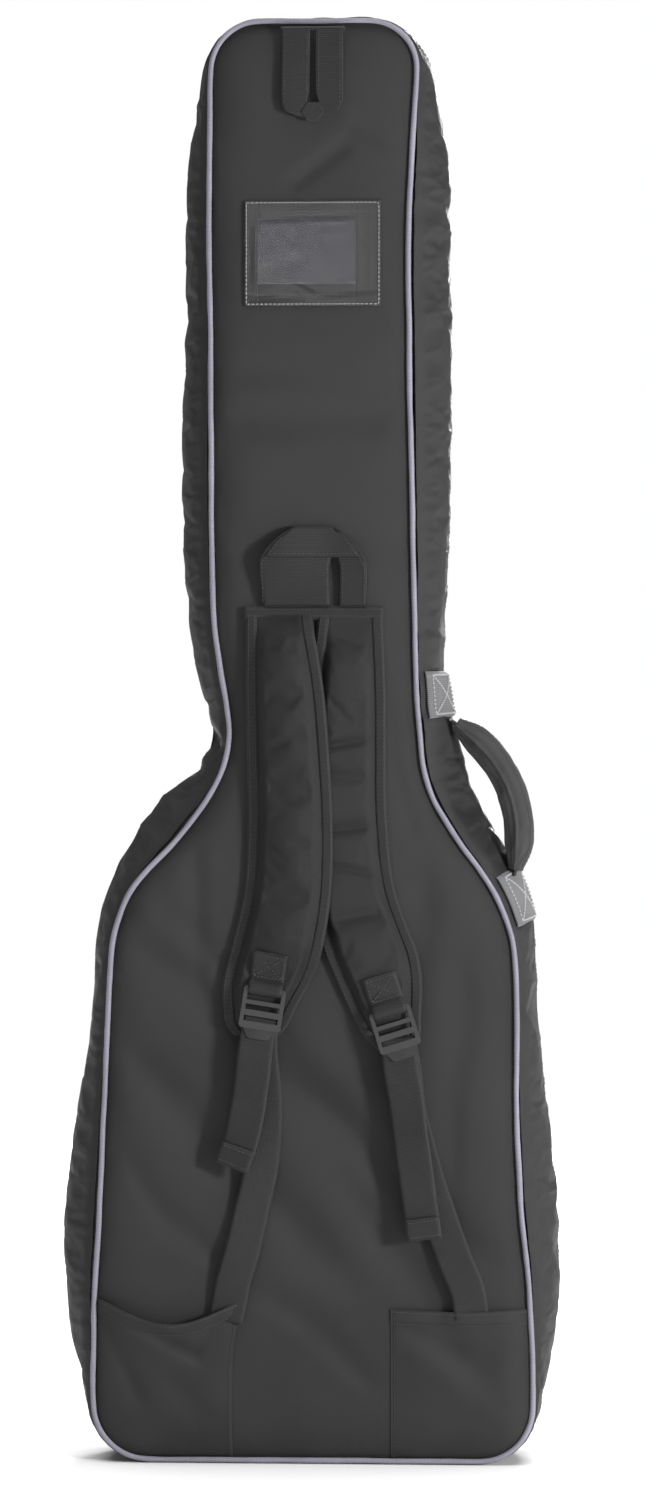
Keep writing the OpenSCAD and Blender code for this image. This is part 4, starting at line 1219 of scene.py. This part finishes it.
grab_parts = [
    plate(grab_lo.z, grab_hi.z, at_z((-39, 709), (-43, 738), (-43.5, 750), (-37, 761), (-25, 771.5), (-13, 778)),
          at_z((16, 709), (15.5, 745), (17, 753), (19.5, 760), (19, 778)), grab_depth, 3.4 * MM, edge=0.0016),
    plate(grab_lo.z, grab_hi.z - 0.4 * MM, at_z((23, 709), (23.3, 745), (21, 753), (19.6, 760), (19, 778)),
          at_z((46, 709), (47, 740), (46, 752), (38, 763), (27, 773), (16, 778)), grab_depth, 3.2 * MM, edge=0.0016),
    # folded layer across the top, and the turned-in left leg
    plate(0.752, 0.7765, at_z((-39, 752), (-30, 764), (-14, 777)), at_z((41, 752), (34, 764), (16, 777)),
          lambda x, z: grab_depth(x, z) - 3.2 * MM, 1.5 * MM, edge=0.0012),
]
for pts in ([(-40, 715), (-41, 748), (-24, 769)], [(13, 714), (13, 748)], [(26, 714), (26, 748)],
            [(43.5, 714), (44, 745), (28, 768)], [(-35, 755.5), (38, 755.5)]):
    line, up = line_on(pts, lambda x, z: grab_depth(x, z) - np.where(z > 0.7535, 4.75, 3.4) * MM)
    grab_parts.append(stitches(line, up, pitch=0.0032, radius=0.00035, part=1))
piece("grab_handle_webbing", grab_parts, [WEBBING, THREAD], "grab_handle", ("grab_handle",))

hang_lo, hang_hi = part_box("hang_loop")


def hang_depth(x, z):
    return STRAP_Y - (0.4 + 3.2 * smooth((hang_hi.z - z) / 0.05) * (0.55 + 0.45 * smooth((0.01 - x) / 0.03))) * MM


hang_parts = [
    plate(hang_lo.z, hang_hi.z, at_z((-3, 1116), (-15, 1117.5), (-23, 1122), (-25, 1130), (-24.5, 1190)),
          at_z((-2.5, 1116), (-2, 1124), (-3.2, 1131), (-1.2, 1137), (-0.8, 1190)), hang_depth, 2.2 * MM, edge=0.0011),
    plate(hang_lo.z + 1 * MM, hang_hi.z, at_z((5, 1117), (5, 1124), (5.4, 1131), (3.2, 1137), (3.0, 1190)),
          at_z((8, 1117), (17, 1118.5), (24, 1123), (27, 1131), (26.5, 1190)), hang_depth, 2.2 * MM, edge=0.0011),
    plate(hang_lo.z - 3 * MM, hang_lo.z + 13 * MM, at_z((-3, 1113), (-8, 1117), (-9, 1123), (-3, 1129)),
          at_z((5, 1113), (10.5, 1117), (11.5, 1123), (6, 1129)), lambda x, z: hang_depth(x, z) - 1.6 * MM,
          1.4 * MM, edge=0.0011),
]
for x0 in (-21.8, -4.2, 6.2, 23.6):
    line, up = line_on([(x0, 1128 if abs(x0) > 10 else 1138), (x0, 1186)], lambda x, z: hang_depth(x, z) - 2.2 * MM)
    hang_parts.append(stitches(line, up, pitch=0.0032, radius=0.00032, part=1))
piece("hang_loop_webbing", hang_parts, [WEBBING, THREAD], "hang_loop", ("hang_loop",))
# bar of stitches that holds the loop at the top
parts = [plate(hang_hi.z - 1.5 * MM, hang_hi.z + 2.0 * MM, level(hang_lo.x - 1 * MM), level(hang_hi.x + 1 * MM),
               lambda x, z: np.full(x.shape, STRAP_Y + 1.2 * MM), 3.6 * MM, cols=20, edge=0.0014)]
piece("hang_loop_seam", parts, BINDING, "case")

# ---------------------------------------------------------------- ID pocket
id_lo, id_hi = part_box("id_pocket_frame")
x0, x1, z0, z1 = id_lo.x, id_hi.x, id_lo.z, id_hi.z
hx0, hx1, hz0, hz1 = (v * MM for v in (-44, 37, 979, 1033))


def id_depth(x, z):
    return back_y(x, z) - 0.5 * MM


id_parts = [
    plate(z0, z1, level(x0), level(hx0), id_depth, 1.3 * MM, edge=0.0008, cols=6),
    plate(z0, z1, level(hx1), level(x1), id_depth, 1.3 * MM, edge=0.0008, cols=6),
    plate(z0, hz0, level(hx0 - 0.5 * MM), level(hx1 + 0.5 * MM), id_depth, 1.3 * MM, edge=0.0008, cols=30),
    plate(hz1, z1, level(hx0 - 0.5 * MM), level(hx1 + 0.5 * MM), id_depth, 1.3 * MM, edge=0.0008, cols=30),
]


def rectangle(x0, z0, x1, z1, inset):
    """A closed loop in mm, set in by inset from a box given in metres."""
    return boxed_cross(x0 / MM + inset, z0 / MM + inset, x1 / MM - inset, z1 / MM - inset)[0]


for m, r, mat in ((2.0, 0.0004, 1), (9.5, 0.0003, 2)):
    loop = rectangle(x0, z0, x1, z1, m)
    line, up = line_on(loop, lambda x, z: id_depth(x, z) - (2.2 if mat == 1 else 1.3) * MM)
    id_parts.append(stitches(line, up, pitch=0.0036, radius=r, part=mat))
piece("id_pocket_cloth", id_parts, [SIDE, PALE_THREAD, THREAD], "case", ("id_pocket_frame",))


FILM_FOLDS = (
    (-54, 968, -14, 966, 1.5, -0.8), (-52, 973, -30, 971, 1.3, -0.6), (-16, 975, 2, 968, 1.4, -0.7),
    (-51, 978, -50, 1030, 1.5, -0.6), (8, 967, 50, 969, 1.6, -0.5), (-40, 1037, 30, 1038, 1.8, -0.5),
)


def film_depth(x, z):
    sag = 0.3 * MM * fbm(x / 0.025, z / 0.02, seed=301)
    sag = sag - creases(x, z, FILM_FOLDS)
    return back_y(x, z) - 1.95 * MM - sag


film = [
    plate(z0 + 0.6 * MM, z1 - 0.6 * MM, level(x0 + 0.6 * MM), level(x1 - 0.6 * MM), film_depth, 0.35 * MM,
          edge=0.0003, cols=110, step=0.0011),
    plate(hz0 - 1 * MM, hz1 + 1 * MM, level(hx0 - 1 * MM), level(hx1 + 1 * MM),
          lambda x, z: id_depth(x, z) - 0.1 * MM, 0.7 * MM, edge=0.0004, cols=30, part=1),
]
piece("id_window_film", film, [CLEAR, CLOUDED], "case", ("id_window",))


# ---------------------------------------------------------------- stow pockets
def stow_pocket(side, sag, mouth, top, seed, folds):
    sign = -1 if side == "left" else 1
    node = f"corner_pocket_{side}"
    z_rows, left, right = RIM.rows(4.6 * MM, 0.004)
    outer_x = left if sign < 0 else right
    u, v = np.meshgrid(np.linspace(0, 1, 44), np.linspace(0, 1, 52), indexing="ij")
    bottom = z_rows[0] + 0.3 * MM
    z = bottom + v * (top - sag * np.sin(PI * u) ** 1.3 * smooth((v - 0.4) / 0.6) - bottom)
    outer = np.interp(z, z_rows, outer_x)
    inner = sign * (66 - (12 * v**5 if sign < 0 else 0)) * MM
    x = inner + u * (outer - inner)
    base = back_y(x, z)
    full = np.sin(PI * np.clip(u, 0, 1)) ** 0.75
    bulge = (mouth * full * v**2.4 + 2.2 * full * np.sin(PI * v) ** 0.8) * MM
    soft = smooth(u / 0.1) * smooth((1 - u) / 0.1) * smooth(v / 0.12)
    bulge = bulge + soft * (creases(x, z, folds) + 0.5 * MM * fbm(x / 0.03, z / 0.03, seed=seed))
    y = base - 0.9 * MM - np.maximum(bulge, 0)
    front = np.stack([x, y, z], -1)
    back = front + np.array([0, 0.8, 0]) * MM
    hem = smooth((v - 0.9) / 0.02)
    front[..., 1] -= 0.7 * MM * hem
    ring = two_sided(front, back)
    faces = grid(ring, there_and_back(x), there_and_back(z, 0.15), round_v=True, flip=sign > 0)
    obj = piece(f"stow_pocket_{side}", [sealed(faces, *ring.shape[:2])], PANEL, "case", (node,))
    up = tiled((0.0, -1, 0), len(front))
    thread = [stitches(front[:, row] + np.array([0, -0.1, 0]) * MM, up) for row in (-2, -6)]
    thread.append(stitches(front[1] + np.array([0, -0.2, 0]) * MM, tiled((0.0, -1, 0), 52)))
    piece(f"stow_stitching_{side}", thread, THREAD, "case")
    wide, tall = abs(outer_x).max() - 0.066 + 0.02, top - bottom + 0.004
    return obj, front, wide, tall


LEFT_FOLDS = (
    (-170, 120, -140, 50, 8, 2.0), (-150, 122, -95, 90, 7, 2.5), (-70, 120, -100, 85, 8, 2.2),
    (-120, 80, -80, 20, 12, 1.4),
)
RIGHT_FOLDS = (75, 110, 130, 90, 9, 1.2), (150, 100, 110, 30, 12, 1.4)
STOW = [
    stow_pocket("left", 0.020, 12, 0.1365, 401, LEFT_FOLDS),
    stow_pocket("right", 0.002, 4, 0.1295, 431, RIGHT_FOLDS),
]


# ---------------------------------------------------------------- carry handle on the side
def grip():
    joint = JOINTS["side_handle_swing"]
    top = np.array(joint["pos_m"], float)
    down = np.array(joint["axis"], float)
    out = np.array([-down[2], 0, down[0]])
    chord, far = 136.6 * MM, 23 * MM
    line = lambda u: top + down * (chord * u)[:, None] + out * (far * (1 - (2 * u - 1) ** 2))[:, None]
    u = np.linspace(0.02, 0.98, 84)
    c = line(u)
    along = unit(np.gradient(c, axis=0))
    depth = tiled((0.0, 1.0, 0.0), len(u))
    side = unit(np.cross(along, depth))
    side = side * np.sign((side @ out)[:, None])
    full = smooth(np.minimum(u - 0.02, 0.98 - u) / 0.17)
    fat_w, fat_d = (0.5 + 0.5 * full**0.7)[:, None], (0.7 + 0.3 * full)[:, None]
    sides = 64
    ang = np.arange(sides) * 2 * PI / sides
    # a flattened, padded tube with five raised seams along it
    ca, sa = np.cos(ang), np.sin(ang)
    shape = (np.abs(ca) ** 2.6 + np.abs(sa) ** 2.6) ** (-1 / 2.6)
    w, d = 12.2 * MM, 13.6 * MM
    s = lengths(c)
    seams = (0.62, PI - 0.62, PI + 0.62, 1.5 * PI - 0.16, 2 * PI - 0.62)
    welt = 1.9 * MM * sum(gauss(ang - k, 0.1) for k in seams)
    soft = 0.5 * MM * fbm(s[:, None] / 0.02, ang[None, :] * 0.8, seed=501)
    tuckr = 0.35 * MM * noise(s[:, None] / 0.006, ang[None, :] * 2, seed=502)
    r = shape[None, :]
    extra = (welt[None, :] + soft + tuckr) * fat_w
    p = (c[:, None, :] + side[:, None, :] * (ca * (w * r * fat_w + extra))[..., None]
         + depth[:, None, :] * (sa * (d * r * fat_d + extra))[..., None])
    around = np.arange(sides + 1) / sides * 0.075
    _, f, uv, _ = grid(p, s, around, round_v=True)
    pin = np.zeros(p.shape[:2])
    pin[:3] = pin[-3:] = 1
    moved = simulate(p, f, pin.ravel(), pressure=2.0, shrink=-0.01, cap=0.0008, frames=10, bending=0.6)
    p = moved.reshape(p.shape)
    last = (len(u) - 1) * sides
    caps = [list(range(sides)), [last + k for k in range(sides - 1, -1, -1)]]
    parts = [(moved, f + caps, np.vstack([uv, np.zeros((2 * sides, 2))]), 0)]
    for k in seams:
        i = int(round(k / (2 * PI) * sides)) % sides
        for extra_i in (-2, 2):
            q = p[2:-2, (i + extra_i) % sides]
            up = unit(q - c[2:-2])
            parts.append(stitches(q + up * 0.05 * MM, up, pitch=0.0036, radius=0.00036, part=1))
    piece("side_handle_grip_cloth", parts, [GRIP, THREAD], "side_handle", ("side_handle_grip",))
    parts = []
    for a, b in ((-0.01, 0.06), (0.94, 1.01)):
        q = line(np.linspace(a, b, 14))
        al = unit(np.gradient(q, axis=0))
        dep = tiled((0.0, 1.0, 0.0), 14)
        parts.append(ribbon(q, dep, unit(np.cross(al, dep)), 18 * MM, 3.4 * MM))
    piece("side_handle_ends", parts, WEBBING, "side_handle", ("side_handle_webbing",))


grip()


def grey_tab(node, name):
    """Light webbing sewn to the side wall with a boxed cross."""
    lo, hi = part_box(node)
    i = np.arange(rim_index(1, lo.z), rim_index(1, hi.z) + 1)
    y = np.linspace(lo.y, hi.y, 15)
    edge = 1 - 0.5 * np.clip((np.abs(np.linspace(-1, 1, 15)) - 0.9) / 0.1, 0, 1) ** 2
    rowe = np.minimum(np.arange(len(i)), np.arange(len(i))[::-1])
    rim_ = np.sqrt(np.clip(1 - (1 - np.clip(rowe / 1.5, 0, 1)) ** 2, 0, 1))
    n = RIM.out(i)
    base = wall(i, y, proud=0.3 * MM, detail=0.35)
    front = base + n[:, None, :] * (3.0 * MM * edge[None, :] * rim_[:, None])[..., None]
    run = lengths(front[:, 7])
    parts = [grid(two_sided(front, base), run, there_and_back(y), round_v=True)]
    top = front + n[:, None, :] * 0.15 * MM
    h = len(i) - 1
    for loop in boxed_cross(0.08, 0.08, 0.92, 0.92):
        pts = polyline(loop, 14)
        a, b = pts[:, 1] * h, pts[:, 0] * 14
        ia, ib = np.minimum(a.astype(int), h - 1), np.minimum(b.astype(int), 13)
        fa, fb = (a - ia)[:, None], (b - ib)[:, None]
        near = top[ia, ib] * (1 - fa) * (1 - fb) + top[ia + 1, ib] * fa * (1 - fb)
        q = near + top[ia, ib + 1] * (1 - fa) * fb + top[ia + 1, ib + 1] * fa * fb
        parts.append(stitches(q, n[ia], pitch=0.0034, fill=0.8, radius=0.0008, part=1))
    piece(name, parts, [GREY_WEB, PALE_THREAD], "case", (node,))


grey_tab("handle_tab_upper", "handle_tab_upper_webbing")
grey_tab("handle_tab_lower", "handle_tab_lower_webbing")


# ---------------------------------------------------------------- pockets on the lid
def pocket_zip(node, base, across, out, gap, tape_size, t, tooth):
    """A flat zip: tapes on both sides of a line, gap mm from it, and two rows of coil teeth."""
    a, o = tiled(across, len(base)), tiled(out, len(base))
    wide, thick = (v * MM for v in tape_size)
    tapes = [ribbon(base + a * d, a, o, wide, thick) for d in (-gap * MM, gap * MM)]
    piece(f"{node}_tape", tapes, TAPE, "lid", (node,))
    rows = []
    for side, shift in ((-1, 0.0), (1, TOOTH / 2)):
        ends = [np.stack(tooth(t + shift, side * far * MM), 1) for far in (2.2, -0.4)]
        rows.append(capsules(*ends, tiled(out, len(t)), 0.6 * MM, dip=0.2))
    piece(f"{node}_teeth", rows, COIL, "lid")


def body_pocket():
    edge = Outline(cut_corners(corner_points("body_pocket_panel"), 0.02, 3), 0.003)
    y0, y1 = low("body_pocket_gusset").y - 1.5 * MM, high("body_pocket_panel").y
    x, z = panel_grid(edge, 2.6 * MM, 0.006, 56)
    d = edge_distance(edge, 2.6 * MM, x, z)
    rise = -2.4 * MM + 3.6 * MM * (1 - np.exp(-((d / 0.011) ** 0.95)))
    folds = ((-120, 360, 90, 300, 14, 1.6), (-100, 300, 110, 210, 16, 1.4), (-130, 200, 0, 90, 14, 1.4),
             (40, 180, 120, 60, 12, 1.2), (-60, 390, -40, 330, 8, 1.2), (60, 390, 70, 340, 8, 1.0))
    rise = rise + smooth(d / 0.03) * (creases(x, z, folds) + 0.6 * MM * fbm(x / 0.07, z / 0.07, seed=601))
    rise = rise + 0.5 * MM * noise(x / 0.008, z / 0.008, seed=602) * gauss(d - 0.005, 0.005)
    p = np.stack([x, y1 + rise, z], -1)
    _, f, uv, _ = grid(p, x, z, flip=True)
    pin = np.clip(1 - d / 0.01, 0, 1).ravel()
    moved = simulate(p, f, pin, pressure=3.0, shrink=-0.01, cap=0.003, frames=12, bending=0.8)
    piece("body_pocket_cloth", [(moved, f, uv, 0)], PANEL, "lid", ("body_pocket_panel",))
    ys = np.linspace(y0, y1 - 1.6 * MM, 12)
    t = (ys - y0) / (ys[-1] - y0)
    s = edge.s[:-1]
    puff = np.sin(PI * t)[None, :]
    off = 1.4 * MM * puff + 0.9 * MM * noise(s[:, None] / 0.022, ys[None, :] / 0.03, seed=603) * puff - 1.2 * MM
    off[:, -1] -= 1.5 * MM
    wallp = np.stack([edge.p[:, 0][:, None] + edge.n[:, 0][:, None] * off, np.broadcast_to(ys, off.shape),
                      edge.p[:, 1][:, None] + edge.n[:, 1][:, None] * off], -1)
    parts = [grid(wallp, edge.s, ys, round_u=True)]
    n3 = edge.out()
    foot = np.vstack([wallp[:, 1], wallp[:1, 1]])
    parts.append(stitches(foot, np.vstack([n3, n3[:1]]), part=1))
    piece("body_pocket_wall", parts, [SIDE, THREAD], "lid", ("body_pocket_gusset",))
    ring = edge.ring(1.6 * MM)
    depth = tiled((0.0, 1.0, 0.0), edge.count)
    c = np.stack([ring[:, 0], np.full(edge.count, y1 - 0.6 * MM), ring[:, 1]], 1)
    piece("body_pocket_piping", [sweep(c, n3, depth, 2.0 * MM, 2.0 * MM, 10, closed=True)], PIPING, "lid")
    # zip along the top edge
    lo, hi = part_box("body_pocket_zip")
    mid = (lo.y + hi.y) / 2
    xs = np.linspace(lo.x - 4 * MM, hi.x + 4 * MM, 90)
    base = np.stack([xs, np.full(90, mid), np.full(90, lo.z + 0.2 * MM)], 1)
    tooth = lambda t, dy: (t, np.full(len(t), mid + dy), np.full(len(t), hi.z - 0.3 * MM))
    pocket_zip("body_pocket_zip", base, (0, 1, 0), (0, 0, 1), 4.6, (6.4, 1.2), np.arange(lo.x, hi.x, TOOTH), tooth)


body_pocket()


def neck_pocket():
    lo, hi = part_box("neck_pocket_panel")
    base_y = lo.y
    soft = lambda z: 1.2 * MM * noise(z / 0.05, seed=701)
    crown = lambda x, z: 0 * x + base_y - 0.4 * MM
    left = lambda z: lo.x + 0.5 * soft(z) * smooth((z - lo.z) / 0.02)
    right = lambda z: hi.x + 0.5 * soft(z + 3) * smooth((z - lo.z) / 0.02)
    thick = hi.y - lo.y
    v, f, uv, m = plate(lo.z, hi.z, left, right, crown, thick, side=1, cols=44, step=0.005, edge=0.004)
    x, z = v[:, 0], v[:, 2]
    inside = np.minimum(np.minimum(x - lo.x, hi.x - x), np.minimum(z - lo.z, hi.z - z))
    front = v[:, 1] > base_y + thick * 0.5
    folds = ((-50, 1020, 40, 990, 12, 1.2), (-50, 900, 40, 930, 12, 1.0), (-50, 800, 30, 780, 12, 1.2),
             (-30, 740, 10, 700, 9, 0.8))
    v = v.copy()
    swell = 1.2 * MM + creases(x, z, folds) + 0.5 * MM * fbm(x / 0.05, z / 0.05, seed=702)
    v[:, 1] += np.where(front, smooth(inside / 0.012) * swell, 0)
    v[:, 1] -= np.where(front, 0.8 * MM * gauss(inside - 0.006, 0.0016), 0)
    parts = [(v, f, uv, m)]
    for gap in (4.2, 7.8):
        loop = rectangle(lo.x, lo.z, hi.x, hi.z, gap)
        line, up = line_on(loop, lambda x, z: np.full(x.shape, base_y + thick - 0.35 * MM), side=1)
        parts.append(stitches(line, up, part=1))
    piece("neck_pocket_cloth", parts, [PANEL, THREAD], "lid", ("neck_pocket_panel",))
    zlo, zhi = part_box("neck_pocket_zip")
    mid = (zlo.x + zhi.x) / 2
    zs = np.linspace(zlo.z, zhi.z, 120)
    base = np.stack([np.full(120, mid), np.full(120, zlo.y + 0.9 * MM), zs], 1)
    tooth = lambda t, dx: (np.full(len(t), mid + dx), np.full(len(t), zhi.y + 0.1 * MM), t)
    pocket_zip("neck_pocket_zip", base, (1, 0, 0), (0, 1, 0), 4.2, (5.2, 1.6), np.arange(zlo.z, zhi.z, TOOTH), tooth)


neck_pocket()


# ---------------------------------------------------------------- hard pieces kept from the frame
def finish_cad(node, material, width, segments=2):
    """A CAD piece keeps its mesh; a weld and a bevel soften its edges."""
    obj = NODES[node]
    obj.data.materials.clear()
    obj.data.materials.append(material)
    weld = obj.modifiers.new("weld", "WELD")
    weld.merge_threshold = 0.00001
    bevel = obj.modifiers.new("bevel", "BEVEL")
    bevel.limit_method, bevel.angle_limit = "ANGLE", math.radians(32)
    bevel.width, bevel.segments = width, segments
    bevel.harden_normals = False
    for p in obj.data.polygons:
        p.use_smooth = False


for side in ("left", "right"):
    finish_cad(f"ladder_lock_{side}", PLASTIC, 0.0008)
for kind in ("zip_slider_upper", "zip_slider_lower", "body_pocket_slider", "neck_pocket_slider",
             "zip_pull_upper", "zip_pull_lower", "body_pocket_pull", "neck_pocket_pull"):
    finish_cad(kind, METAL, 0.0003)


# ---------------------------------------------------------------- inside: neck cradle and tail bumper
def rounded_block(node, name, width, seed):
    """A padded block in plush cloth: the CAD solid with rounded edges and a soft surface."""
    src = NODES[node]
    bm = bmesh.new()
    bm.from_mesh(src.data)
    bmesh.ops.remove_doubles(bm, verts=bm.verts, dist=0.00002)
    bmesh.ops.dissolve_limit(bm, angle_limit=math.radians(1.0), verts=bm.verts, edges=bm.edges)
    sharp = [e for e in bm.edges if len(e.link_faces) == 2 and e.calc_face_angle() > math.radians(25)]
    bmesh.ops.bevel(bm, geom=sharp, offset=width, segments=4, affect="EDGES", profile=0.5, clamp_overlap=True)
    bmesh.ops.triangulate(bm, faces=bm.faces)
    bmesh.ops.subdivide_edges(bm, edges=[e for e in bm.edges if e.calc_length() > 0.012], cuts=2, use_grid_fill=True)
    v = np.array([p.co for p in bm.verts])
    f = [[q.index for q in face.verts] for face in bm.faces]
    bm.free()
    q = v.T / 0.02
    v = v + 0.0006 * np.stack([fbm(*q, seed=seed + k) for k in range(3)], 1)
    uv = np.array([[v[k, 0] + v[k, 1], v[k, 2]] for face in f for k in face])
    piece(name, [(v, f, uv, 0)], LINING, "case", (node,))


rounded_block("neck_cradle", "neck_cradle_pad", 0.004, 801)
rounded_block("tail_bumper", "tail_bumper_pad", 0.005, 811)


# ---------------------------------------------------------------- floor, light and camera
def white(name, value):
    n = Nodes(name)
    n.set(Base_Color=rgb(value, value, value), Roughness=0.9)
    return n.mat


floor = bpy.data.meshes.new("floor")
floor.from_pydata([(-9, -9, 0), (9, -9, 0), (9, 9, 0), (-9, 9, 0)], [], [[0, 1, 2, 3]])
floor.materials.append(white("floor_paper", 0.9))
floor_obj = bpy.data.objects.new("floor", floor)
floor_obj.location.z = -0.0005
scene.collection.objects.link(floor_obj)

world = bpy.data.worlds.new("studio")
scene.world = world
world.use_nodes = True
tree = world.node_tree
back = tree.nodes["Background"]
back.inputs[0].default_value = rgb(1, 1, 1)
back.inputs[1].default_value = 1.0
dim = tree.nodes.new("ShaderNodeBackground")
dim.inputs[0].default_value = rgb(1, 1, 1)
dim.inputs[1].default_value = 0.15
ray = tree.nodes.new("ShaderNodeLightPath")
choose = tree.nodes.new("ShaderNodeMixShader")
tree.links.new(ray.outputs["Is Camera Ray"], choose.inputs[0])
tree.links.new(dim.outputs[0], choose.inputs[1])
tree.links.new(back.outputs[0], choose.inputs[2])
tree.links.new(choose.outputs[0], tree.nodes["World Output"].inputs[0])
scene.view_settings.view_transform = "Standard"


def area_light(name, place, target, size, power):
    data = bpy.data.lights.new(name, "AREA")
    data.shape, data.size, data.energy = "SQUARE", size, power
    obj = bpy.data.objects.new(name, data)
    obj.location = place
    obj.rotation_euler = (Vector(target) - Vector(place)).to_track_quat("-Z", "Y").to_euler()
    scene.collection.objects.link(obj)


area_light("key", (2.6, -2.0, 0.75), (0, -0.05, 0.45), 0.5, 120)
area_light("front_fill", (-0.8, -3.8, 0.6), (0, 0, 0.35), 1.8, 12)
area_light("side_right", (3.0, 0.4, 0.7), (0.1, 0, 0.5), 1.2, 12)
area_light("back_key", (0.5, 3.4, 1.6), (0, 0, 0.6), 0.8, 110)
sun = bpy.data.objects.new("floor_light", bpy.data.lights.new("floor_light", "SUN"))
sun.data.energy, sun.data.angle = 3.2, math.radians(60)
scene.collection.objects.link(sun)

cam_data = bpy.data.cameras.new("camera")
cam = bpy.data.objects.new("camera", cam_data)
scene.collection.objects.link(cam)
target = Vector((0.0104, BACK_Y, 0.5926))
distance, turn, rise, seen_height = 4.6, math.radians(3.5), 0.03, 1.245
cam.location = target + Vector((math.sin(turn) * distance, -math.cos(turn) * distance, rise))
cam.rotation_euler = (target - cam.location).to_track_quat("-Z", "Y").to_euler()
cam_data.sensor_width = 36
cam_data.lens = cam_data.sensor_width * distance / seen_height
cam_data.clip_end = 60
scene.camera = cam
